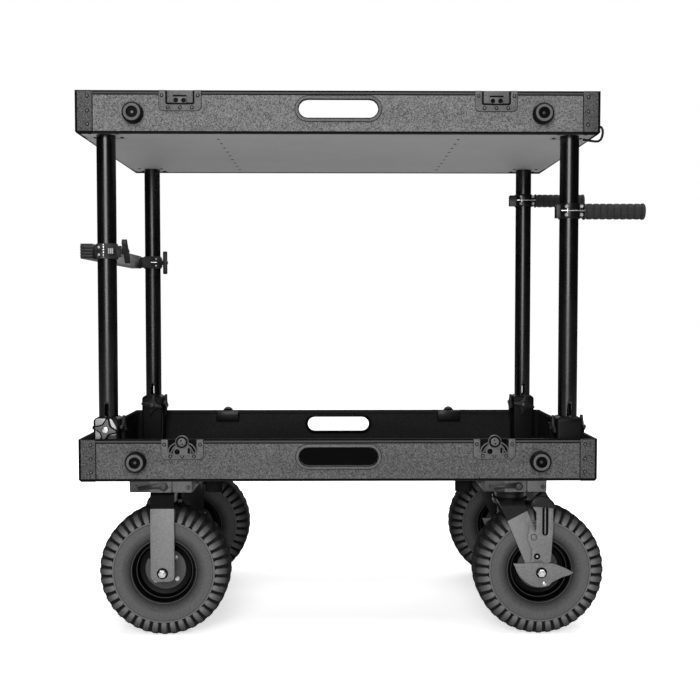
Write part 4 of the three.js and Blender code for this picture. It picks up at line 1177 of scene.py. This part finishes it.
@dataclass
class Wheel(AtWheel):
    """A pneumatic wheel: lugged tyre on a gloss black rim with a bolted hub disc."""

    lugs: int = 40
    bolt_circle: float = 31.0
    bolt_face: float = 13.6
    valve_circle: float = 40.0

    def build(self) -> None:
        """Builds tyre and rim."""
        self.tyre()
        self.rim()

    def hoop(self, build: Build, half: Outline, middle: int, coat: Coat, sides: int) -> None:
        """A ring about the axle, the same on both sides.

        Args:
            build: What it is added to.
            half: Its profile on one side.
            middle: How many of the profile's last points aren't mirrored.
            coat: Its finish.
            sides: Number of flat sides.
        """
        mirrored = [(radius, -along) for radius, along in reversed(half[: len(half) - middle])]
        build.turned([*half, *mirrored], facing(self.centre, BACK), coat, sides, closed=True)

    def tyre(self) -> None:
        """The tyre's body with shoulder lugs that reach to the middle of the tread."""
        half = [
            *((62.3, 30.4), (64, 33.2), (68, 36.8), (76, 40.3), (86, 42.2), (95, 42.4)),
            *((99.4, 42.2), (100.4, 41.6), (101.4, 42.3), (102.4, 42.45), (103.6, 42.3)),
            *((104.4, 41.2), (107, 38.2), (112, 35.8), (118, 33.6), (123.5, 32.2)),
            *((127.6, 31.0), (130.2, 27.6), (131.4, 21), (131.8, 12), (131.8, 0)),
        ]
        build = Build()
        self.hoop(build, half, 1, Coat.TYRE, 108)
        plain = len(build.mesh.verts)
        for side in SIDES:
            start = 0.0 if side < 0 else math.pi / self.lugs
            part = bmesh.new()
            part.from_mesh(ring(self.lug(side), self.lugs, start, Coat.TYRE.material))
            build.take(part, Coat.TYRE, Matrix.Translation(self.centre))
        name = f"tyre_{self.name}"
        made = build.piece(f"{name}_lugged", f"wheel_{self.name}", "tyre", [name], 26)
        # Paints light and shade into the tyre's points.
        self.tone(made.data, plain)

    def lug(self, side: int) -> Mesh:
        """One lug on a shoulder, about the wheel's axis, in millimetres, at the wheel's top."""
        stations = [
            *((103.6, 41.5, 2.6), (106.4, 42.1, 4.2), (112, 41.7, 4.8), (119, 40.0, 5.0)),
            *((125.2, 37.0, 5.1), (129.2, 32.9, 5.2), (131.4, 28, 5.2), (132.3, 20, 5.0)),
            (132.3, 4, 3.6),
        ]
        part = bmesh.new()
        rows = []
        for index, (radius, along, width) in enumerate(stations):
            deep = 1.5 if index == 0 else 7.5
            lean = min(1.0, index / 5)
            low_r, low_y = radius - deep * lean - 1.0, along - deep * (1 - lean) * 0.9 - 0.6
            top = [(-width, along, radius), (width, along, radius)]
            low = [(width + 1.3, low_y, low_r), (-width - 1.3, low_y, low_r)]
            rows.append([part.verts.new((u, side * v, w)) for u, v, w in top + low])
        skin(part, rows)
        bmesh.ops.recalc_face_normals(part, faces=part.faces)
        edges = [edge for edge in part.edges if edge.calc_face_angle(0.0) > math.radians(50)]
        soften(part, edges, 0.8, 1, False)
        made = bpy.data.meshes.new("lug")
        part.to_mesh(made)
        part.free()
        return made

    def tone(self, data: Mesh, plain: int) -> None:
        """Writes the painted light and shade of each point of the tyre: 0 for painted shade, 1 for
        painted highlight.

        Args:
            data: The tyre's mesh.
            plain: How many points belong to the body; the rest are lugs.
        """
        # Painted shade beyond the sidewall ridge, under and between the lugs; a painted highlight
        # ring on the ridge with a painted shade line inside it; painted shade on the tread.
        bands = ((103.9, 0.03), (101, 0.8), (100, 0.2))
        tread = ((125.4, 0.14),)
        layer = data.attributes.new("tone", "FLOAT", "POINT")
        for vertex in data.vertices:
            away = vertex.co - spot(*self.centre)
            radius = math.hypot(away.x, away.z) / MM
            # The body darkens towards the bead as painted shade; the lugs get a painted highlight
            # at their inner ends that fades outwards.
            if vertex.index < plain:
                levels, value = bands, 0.06 + 0.54 * ramp(radius, 65, 19)
            else:
                levels, value = tread, 0.95 - 0.6 * ramp(radius, 106, 17)
            value = next((level for start, level in levels if radius > start), value)
            layer.data[vertex.index].value = value

    def rim(self) -> None:
        """The pressed rim with painted highlight rings on its lip and step, hub disc, bolts, hub
        tube and valve.
        """
        half = [
            *((62.0, 31.3), (66.1, 33.6), (66.6, 35.2), (65.6, 36.3), (63.6, 35.8)),
            *((62.2, 33.4), (60.4, 29), (58.8, 24.4), (57.6, 24.2), (56.6, 23.0)),
            *((55.4, 16.5), (52, 12.4), (44, 10.4), (16, 10.0), (14, 12)),
        ]
        # Thin grey rings on the gloss black rim's lip and inner step: painted highlights.
        lip = [(65.4, 35.6), (66.7, 34.8), (66.9, 35.8), (66.2, 36.6), (65.4, 36.5)]
        step = [(56.4, 23.6), (57.4, 23.9), (57.4, 24.9), (56.6, 24.9)]
        disc = [(15, 10), (42, 10), (42, 12.4), (41, 13.4)]
        disc += [(30, 13.8), (24, 16.4), (18, 17.4), (15, 17.4)]
        hub = [(6.6, 12), (15.6, 12), (15.6, 43), (14.6, 44), (6.6, 44)]
        build = Build()
        self.hoop(build, half, 0, Coat.RIM, 72)
        for side in SIDES:
            face = facing(self.centre, BACK * side)
            # Painted highlight rings on the lip and the step.
            build.turned(lip, face, Coat.DISC, 72, closed=True)
            build.turned(step, face, Coat.RAIL, 72, closed=True)
            build.turned(disc, face, Coat.DISC, 56, closed=True)
            build.turned(hub, face, Coat.BLACK, 32, closed=True)
        reach = self.valve_circle
        valve = [
            Vector(self.centre) + Vector((reach * math.cos(angle), along, reach * math.sin(angle)))
            for angle, along in ((2.4, -12), (2.4, -20), (2.38, -30))
        ]
        build.tube(valve, 3.2, Coat.TRIM, 12)
        name, body = f"wheel_rim_{self.name}", f"wheel_{self.name}"
        build.piece(f"{name}_pressed", body, "wheel_rim", [name])
        x, y, z = self.centre
        spots = []
        for side in SIDES:
            for angle in (math.radians(41 * side + 90 * step) for step in range(4)):
                u, w = self.bolt_circle * math.cos(angle), self.bolt_circle * math.sin(angle)
                spots.append(((x + u, y + side * self.bolt_face, z + w), BACK * side))
        bolt = Fastener(Head.NUT, 3.7, 4.6, Coat.STEEL)
        bolt.put(f"{name}_bolts", spots, body, "wheel_rim")


@dataclass
class Caster(AtWheel):
    """A caster: strap fork, axle nuts, rail and lever, and on the right a brake."""

    leg_middle: float = 50.5
    leg_thickness: float = 5.0
    crown_rise: float = 275.2
    rail_rise: float = 309.5
    rail_face: float = 290.0
    crescent_face: float = 52.9
    pedal_face: float = 56.3

    @property
    def body(self) -> str:
        """The body that the fork rides on."""
        return f"swivel_{self.row}" if self.is_swivel else "base"

    @property
    def lean(self) -> float:
        """How far the crown lies towards -X of the axle."""
        return -60.5 if self.is_swivel else 0.0

    def build(self) -> None:
        """Builds the fork, brake, rail and lever."""
        self.fork()
        if self.is_swivel:
            self.brake()
        self.rail()
        self.lever()

    def fork(self) -> None:
        """The two legs, the bent crown over the tyre, head, axle and nuts."""
        build = Build()
        x, y, z = self.centre
        half, cut, rise = (22.5, 105.0, 21.0) if self.is_swivel else (24.0, 131.5, 0.0)
        top = self.crown_rise - z + (0 if self.is_swivel else 19)
        slant = math.atan2(-self.lean, top)
        wide = half / math.cos(slant)
        if self.is_swivel:
            turn = math.degrees(slant)
            bottom = arc((0, 0), half, 180 + turn, 360 + turn, 16)
        else:
            bottom = rounded([(-half, 40), (-half, -17.0), (half, -17.0), (half, 40)], 14, 6)[7:21]
        ends = ((cut + rise, wide), (cut, -wide))
        leg = [(self.lean * high / top + reach, high) for high, reach in ends] + bottom
        for side in SIDES:
            inner = self.leg_middle - self.leg_thickness / 2
            place = facing((x, y + side * inner, z), BACK * side)
            # The leg on the cart's inner side is black as painted shade; the outer leg keeps the
            # fork's grey.
            coat = Coat.FORK if side == self.out else Coat.BLACK
            build.plate([[(-side * u, v) for u, v in leg]], self.leg_thickness, place, coat, 0.9)
        self.crown(build, cut, top, wide, half)
        if self.is_swivel:
            head = [(36.5, 270), (36.5, 277), (34.5, 279), (31, 280), (31, 288), (33.5, 290)]
            head = [(0, 266), (34, 266), *head, (33.5, 295.5), (32, 297.6), (0, 297.6)]
            place = Matrix.Translation((x + (self.lean + 5.5), y, 0))
            pin = stub(290, (9.8, 313))
            build.stack(place, (head, Coat.BLACK, 56), (pin, Coat.STEEL, 24))
        else:
            build.box((x - 20, y - 20, 268), (x + 20, y + 20, 298), Coat.BLACK, 2.5, 3)
        for side in SIDES:
            outer = 56.0 if self.is_swivel and side < 0 else 53.0
            build.stack(
                facing((x, y + side * outer, z), BACK * side),
                (stub(-58, (5.9, 0)), Coat.DARK_STEEL, 24),
                (stub(-0.5, (11.2, 1.2), (10.4, 1.6)), Coat.TRIM, 32),
                (stub(1.2, (8.6, 5.6), (7.2, 6.8)), Coat.STEEL, 6),
                (stub(6, (5, 8.2), (4, 9)), Coat.STEEL, 20),
            )
        name = f"fork_{self.name}"
        build.piece(f"{name}_pressed", self.body, "fork_metal", [name])

    def crown(self, build: Build, cut: float, top: float, wide: float, half: float) -> None:
        """The strap that bends over the tyre from leg to leg, near black all over as painted shade.

        Args:
            build: The fork's build.
            cut: Height of the legs' upper ends over the axle.
            top: Height of the crown's middle over the axle.
            wide: Half width of a leaning leg, measured level.
            half: Half width of the crown.
        """
        x, y, z = self.centre
        bend = 16.0 if self.is_swivel else 8.0
        mid, thin = self.leg_middle, self.leg_thickness / 2 - 0.25
        path = [(mid, cut - 0.5), (mid, top - bend)]
        path += [(mid - bend + u, top - bend + v) for u, v in arc((0, 0), bend, 12, 90, 7)]
        path += [(-u, v) for u, v in reversed(path)]
        part = bmesh.new()
        rows = []
        last = len(path) - 1
        for index, (across, up) in enumerate(path):
            ahead = Vector(path[min(index + 1, last)]) - Vector(path[max(index - 1, 0)])
            out = Vector((ahead.y, -ahead.x)).normalized() * thin
            first_half = index < len(path) / 2
            if out.x < 0 if first_half else out.x > 0:
                out = -out
            if abs(out.x) < 0.3:
                out = Vector((0, thin))
            share = ramp(up, cut, top - cut)
            centre = x + self.lean * min(up, top) / top
            reach = wide - 0.2 + (half + (4 if self.is_swivel else 0) - wide) * share
            row = []
            for side, away in ((-1, 1), (1, 1), (1, -1), (-1, -1)):
                at = Vector((across, up)) + out * away
                row.append(part.verts.new((centre + side * reach, y + at.x, z + at.y)))
            rows.append(row)
        skin(part, rows)
        # The crown is near black as painted shade, though it is the fork's own metal.
        build.take(part, Coat.BLACK if self.is_swivel else Coat.YOKE)

    def brake(self) -> None:
        """The crescent plate on the fork and the standing pedal with its foot pad."""
        x, y, z = self.centre
        crescent = [
            *((-57.4, 19.1), (-53.5, 12.0), (-50, 2.1), (-44.5, -6.5), (-37.2, -13.8)),
            *((-30, -20), (-21.5, -25.4), (-12, -28.8), (-2, -30), (8, -28.6), (16, -26)),
            *((21, -20), (33, -13.4), (44, -8.6), (56.4, -5.3), (64.9, 0), (52, 7.4)),
            *((39.3, 12.8), (24.5, 18.6), (7.4, 20), (-26.6, 20.2), (-40, 18.4)),
        ]
        pedal = [
            *((-18.1, 138.3), (-18.1, 131.9), (-11.7, 124.4), (-11.7, 90), (-15, 84), (-22, 96)),
            *((-24.5, 97.8), (-27, 88), (-29.8, 68), (-26, 60), (-20.2, 51), (-20.4, 36)),
            *((-22.8, 21), (-14, 24), (-3.2, 27.6), (7.4, 18.1), (14, 21.6), (18.1, 23.4)),
            *((20.4, 60), (22.3, 90), (22.3, 140.4)),
        ]
        face = facing((x, y - self.crescent_face, z), FRONT)
        build = Build()
        build.plate([crescent], 3.0, face, Coat.FORK, 0.5)
        bolt = [(0, -0.5), (4, -0.5), (4, 1.6), (2.6, 2.4), (0, 2.6)]
        build.turned(bolt, moved(face, 6, -22, 3), Coat.STEEL, 18)
        build.piece(f"brake_crescent_{self.row}", self.body, "fork_metal")
        face = facing((x, y - self.pedal_face, z), FRONT)
        slot = [(u + 6.4, v + 106) for v, u in stadium(60, 12.4, 6)]
        build = Build()
        build.plate([pedal, slot], 4.0, face, Coat.FORK, 0.5)
        build.plate([block((5.2, 79), (7.8, 138))], 2.6, face, Coat.FORK, 0.4)
        build.plate([block((-0.6, 74), (13.4, 139))], 0.6, face, Coat.TRIM, 0.2)
        rivet = [(0, 0), (5.6, 0), (5.4, 1.1), (4, 1.8), (0, 2)]
        seat = (stub(-0.5, (6.6, 0.25)), Coat.TRIM, 28)
        build.stack(moved(face, -16.4, 73.4, 4), seat, (rivet, Coat.FORK, 28))
        pin = [(0, 0), (2.2, 0), (2.2, 0.8), (0, 1)]
        seat = (stub(-0.5, (6.4, 0.3)), Coat.TRIM, 28)
        build.stack(moved(face, -10, 34.5, 4), seat, (pin, Coat.BOLT, 16))
        self.foot_pad(build)
        name = f"brake_pedal_{self.name}"
        build.piece(f"{name}_pressed", f"brake_{self.row}", "fork_metal", [name])

    def foot_pad(self, build: Build) -> None:
        """The rounded rubber pad on top of the pedal."""
        x, y, z = self.centre
        part = bmesh.new()
        steps, rows = 14, []
        for step in range(steps + 1):
            share = step / steps
            crown = math.sin(math.pi * share) ** 0.55 if 0 < share < 1 else 0.0
            high, low = 144 + 18 * crown - 8 * share, 137.5 - 4 * share
            section = [(-56.6, low), (-69, low), (-71.4, low + (high - low) * 0.45)]
            section += [(-69.4, high - 1.5), (-63, high), (-56.6, high - 1)]
            u = 50 * share - 24
            rows.append([part.verts.new((x + u, y + v, z + w)) for v, w in section])
        skin(part, rows)
        build.take(part, Coat.KNOB)

    def rail(self) -> None:
        """The rail under the deck with its plates and bolts."""
        node = f"caster_rail_{self.name}"
        build = Build().node_copy(node, Coat.RAIL, 1.0)
        middle_x, flip = self.rail_x, -self.out
        face = facing((middle_x, self.out * self.rail_face, self.rail_rise), BACK * self.out)
        for low, high, coat in ((-22, 20.5, Coat.PLATE), (24, 61.5, Coat.LATCH)):
            bar = rounded(block((flip * low, -10.4), (flip * high, 11.6)), 1.2)
            build.plate([bar], 0.5, face, coat, 0.2)
        build.piece(f"{node}_coated", "base", "black_metal", [node])
        spots = [
            ((middle_x + x, self.out * (self.rail_face + 0.4), self.rail_rise), BACK * self.out)
            for x in (-50 * flip, 55 * flip)
        ]
        bolt = Fastener(Head.SOCKET, 4.2, 3.0, Coat.DARK_STEEL)
        bolt.put(f"{node}_bolts", spots, "base", "black_metal")

    @property
    def rail_x(self) -> float:
        """The rail's middle."""
        return 355.0 if self.is_swivel else -355.0

    def lever(self) -> None:
        """The release lever on the rail."""
        node = f"release_lever_{self.name}"
        build = Build().node_copy(node, Coat.BLACK, 0.8)
        place = (self.rail_x - 6 * self.out, self.out * 295.2, self.rail_rise + 1.5)
        build.stack(
            facing(place, BACK * self.out),
            (stub(-0.5, (5.6, 1.4), (4.6, 2.2)), Coat.RAIL, 24),
            (stub(1, (2.4, 3)), Coat.DARK_STEEL, 6),
        )
        build.piece(f"{node}_pressed", f"lever_{self.name}", "black_metal", [node])


@dataclass
class PushHandle:
    """A push handle: split clamp with bolts and a ribbed rubber grip."""

    row: str
    rise: float
    start: float = 28.4
    end: float = 151.5
    ribs: int = 8

    def build(self) -> None:
        """Builds the clamp and grip."""
        x, y, z = POST_X, POST_Y * sign(self.row), self.rise
        body, node = f"handle_{self.row}", f"handle_clamp_{self.row}"
        build = Build().node_copy(node, Coat.BLACK, 0.8, 40)
        for side in SIDES:
            for left, right, near, far, half, bevel in (
                (-20, 27, 21.6, 22.7, 0.9, 0.3),
                (-9, -5.5, 21.2, 23.0, 4.5, 0.4),
            ):
                low = (x + left, y + side * near, z - half)
                build.box(low, (x + right, y + side * far, z + half), Coat.STEEL, bevel)
        build.piece(f"{node}_cast", body, "black_metal", [node])
        spots = [
            ((x + across, y + side * 21.0, z + up), BACK * side)
            for side in SIDES
            for across in (-9.5, 20.5)
            for up in (-8.4, 8.4)
        ]
        bolt = Fastener(Head.SOCKET, 3.4, 2.8, Coat.BOLT)
        bolt.put(f"{node}_bolts", spots, body, "black_metal")
        self.grip(y, body)

    def grip(self, y: float, body: str) -> None:
        """The rubber sleeve with a flange at each end and ribs between."""
        node = f"handle_grip_{self.row}"
        s, e = self.start, self.end
        sleeve = [(0, s), (16.2, s), (16.8, s + 1), (16.8, s + 3), (14.2, s + 4.4)]
        sleeve += [(14.2, e - 7), (16.4, e - 5.4), (16.6, e - 1.6), (15.4, e), (6, e + 0.2)]
        sleeve += [(5.4, e - 1.5), (0, e - 1.5)]
        build = Build()
        build.turned(sleeve, facing((POST_X, y, self.rise), RIGHT), Coat.GRIP, 48)
        build.piece(f"{node}_sleeve", body, "grip", [node])
        half = [(13.6, 6.8), (14.6, 6.4), (15.7, 4.6), (16, 2)]
        profile = [(radius, -along) for radius, along in half] + half[::-1]
        ring = Build()
        ring.turned(profile, Matrix(), Coat.GRIP, 40, closed=True)
        head = bpy.data.objects.new("grip_rib", ring.finished("grip_rib"))
        pitch = (e - s - 13) / self.ribs
        spots = [
            ((POST_X + s + 5.5 + pitch * (step + 0.5), y, self.rise), RIGHT)
            for step in range(self.ribs)
        ]
        scatter(f"{node}_ribs", head, Coat.GRIP, spots, body)


@dataclass
class CrossBar:
    """The cross bar with its collars and T-shaped knobs."""

    rise: float = 781.0
    post_x: float = -POST_X

    def build(self) -> None:
        """Builds the bar, its small fittings and the knobs."""
        build = Build().node_copy("cross_bar", Coat.BAR, 0.8, 40)
        x, z = self.post_x, self.rise
        front, back = -POST_Y - 22.3, POST_Y - 22.4

        def boss(left: float, right: float, near: Pair, up: Pair, coat: Coat, bevel: float) -> None:
            """A block on the bar, from and to across, in depth and up."""
            build.box((x + left, near[0], z + up[0]), (x + right, near[1], z + up[1]), coat, bevel)

        boss(-4.5, -1, (front - 0.4, front + 2), (-13, 13), Coat.STEEL, 0.4)
        for low in (-12 + 5.2 * step for step in range(5)):
            deep = (front - 0.9, front + 1)
            boss(-5.2, -0.4, deep, (low, low + 3.2), Coat.DARK_STEEL, 0.5)
        boss(5.5, 17.5, (front + 0.6, front + 5), (-6, 6), Coat.DARK_STEEL, 0.6)
        for low in (-5.4 + 3.7 * row for row in range(3)):
            for left in (6.2 + 3.7 * column for column in range(3)):
                deep = (front + 0.1, front + 2)
                boss(left, left + 3, deep, (low, low + 3), Coat.BRIGHT_CAST, 0.5)
        boss(-16, 14, (back - 0.4, back + 2), (-1, 1), Coat.STEEL, 0.3)
        for low in (z - 11 + 6 * step for step in range(4)):
            build.box((-515.8, -271, low), (-490.5, -268.6, low + 3), Coat.BAR, 0.6)
        build.piece("cross_bar_cast", "bar", "bar_metal", ["cross_bar"])
        places = [(-12, front + 3.4, up) for up in (-7.5, 7.5)]
        places += [(across, back + 1.2, up) for across in (-12, 12) for up in (-8.5, 8.5)]
        spots = [((x + across, y, z + up), FRONT) for across, y, up in places]
        bolt = Fastener(Head.SOCKET, 2.4, 2.0, Coat.BOLT)
        bolt.put("cross_bar_bolts", spots, "bar", "bar_metal")
        for row in ROWS:
            self.knob(row)

    def knob(self, row: str) -> None:
        """One T-shaped knob, rounded from its packed form, with a pointed hub cap."""
        node = f"cross_bar_knob_{row}"
        low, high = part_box(node)
        build = Build().node_copy(node, Coat.KNOB, 1.6, 40)
        tip = (high.x / MM - MIDDLE_X - 0.5, (low.y + high.y) / 2 / MM, self.rise)
        cap = [(0, 0), (6.4, 0), (5.8, 1.2), (2.6, 2.8), (0, 3.2)]
        build.turned(cap, facing(tip, RIGHT), Coat.DARK_STEEL, 24)
        build.piece(f"{node}_moulded", f"bar_knob_{row}", "knob", [node])


class Stage:
    """The camera, lamps, world and floor."""

    place = Vector((-0.0520, -2.3228, 0.6667))
    yaw = -0.0122
    pitch = 0.0407
    lens = 52.57
    floor_edge = 30.0

    def build(self) -> None:
        """Sets the camera, the light and the floor."""
        self.camera()
        self.world()
        self.lamp("front_bank", (-0.45, -3.3, 1.6), (0, 0, 0.6), (1.5, 2.6), 100)
        self.lamp("top", (0.0, -0.2, 3.2), (0, 0, 0), (3.4, 3.0), 90)
        self.lamp("back", (0.6, 3.2, 2.6), (0, 0, 0.5), (3.0, 2.0), 70)
        self.floor()

    def camera(self) -> None:
        """The photograph's viewpoint."""
        data = bpy.data.cameras.new("photo_camera")
        data.lens, data.sensor_width, data.sensor_fit = self.lens, 36, "HORIZONTAL"
        camera = link("photo_camera", data)
        camera.location = self.place
        camera.rotation_euler = (math.pi / 2 - self.pitch, 0, self.yaw)
        bpy.context.scene.camera = camera

    @staticmethod
    def split(owner: bpy.types.World | Material, output: str) -> tuple[Sheet, Node]:
        """Starts a world's or material's tree: one shader for camera rays, one for the others."""
        owner.use_nodes = True
        owner.node_tree.nodes.clear()
        sheet = Sheet(owner.node_tree)
        ray = sheet.add("ShaderNodeLightPath").outputs["Is Camera Ray"]
        mix = sheet.add("ShaderNodeMixShader", {"Fac": ray})
        sheet.add(output, {"Surface": mix.outputs["Shader"]})
        return sheet, mix

    def world(self) -> None:
        """An even grey world that is white where it is seen directly."""
        world = bpy.data.worlds.new("studio")
        bpy.context.scene.world = world
        sheet, mix = self.split(world, "ShaderNodeOutputWorld")
        for index, (level, strength) in enumerate(((0.9, 0.035), (1, 1.0)), 1):
            inputs = {"Color": (level, level, level, 1), "Strength": strength}
            light = sheet.add("ShaderNodeBackground", inputs)
            sheet.feed(mix.inputs[index], light.outputs["Background"])

    @staticmethod
    def lamp(name: str, place: Point, aim: Point, size: Pair, power: float) -> None:
        """A soft rectangular lamp.

        Args:
            name: The lamp's name.
            place: Where it hangs, in metres.
            aim: What it points at.
            size: Its width and height.
            power: Its power in watts.
        """
        data = bpy.data.lights.new(name, "AREA")
        data.shape, data.energy = "RECTANGLE", power
        data.size, data.size_y = size
        lamp = link(name, data)
        lamp.location = place
        lamp.rotation_euler = (Vector(aim) - Vector(place)).to_track_quat("-Z", "Y").to_euler()

    def floor(self) -> None:
        """A pale plain floor that shows as white but keeps the cart's contact shadow."""
        mesh = bpy.data.meshes.new("studio_floor")
        edge = self.floor_edge
        corners = [(u, v, 0) for u, v in block((-edge, -edge), (edge, edge))]
        mesh.from_pydata(corners, [], [(0, 1, 2, 3)])
        floor = link("studio_floor", mesh)
        material = bpy.data.materials.new("studio_floor_paint")
        sheet, mix = self.split(material, "ShaderNodeOutputMaterial")
        paint = sheet.add("ShaderNodeBsdfDiffuse", {"Color": (0.86, 0.86, 0.86, 1)})
        place = sheet.add("ShaderNodeTexCoord").outputs["Object"]
        away = sheet.add("ShaderNodeVectorMath", {0: place}, operation="LENGTH").outputs["Value"]
        strength = sheet.span(away, 0.6, 1.6, 0.62, 1.0)
        glow = sheet.add("ShaderNodeEmission", {"Strength": strength}).outputs["Emission"]
        lifted = sheet.add("ShaderNodeAddShader", {0: paint.outputs["BSDF"], 1: glow})
        sheet.feed(mix.inputs[1], paint.outputs["BSDF"])
        sheet.feed(mix.inputs[2], lifted.outputs["Shader"])
        mesh.materials.append(material)


def main() -> None:
    """Builds the cart's looks in order."""
    logging.basicConfig(level=logging.INFO, format="%(name)s: %(message)s")
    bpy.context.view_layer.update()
    bpy.context.scene.view_settings.view_transform = "Standard"
    Stage().build()
    Deck("lower", LOWER_BASE, "base").build()
    Deck("upper", UPPER_BASE, "upper").build()
    for row in ROWS:
        for end in ENDS:
            for kind in (TwistLatch, Wheel, Caster):
                kind(row, end).build()
    for part in (
        PostAndSocket("front", "left", (0, 90)),
        PostAndSocket("front", "right", (90, -90)),
        PostAndSocket("back", "left", (0, 90)),
        PostAndSocket("back", "right", (0, -90)),
        PushHandle("front", 862.0),
        PushHandle("back", 936.5),
        CrossBar(),
    ):
        part.build()
    loop = Build().node_copy("tie_loop", Coat.BLACK, 0)
    loop.piece("tie_loop_wire", "upper", "black_metal", ["tie_loop"], 70)


if __name__ == "__main__":
    main()
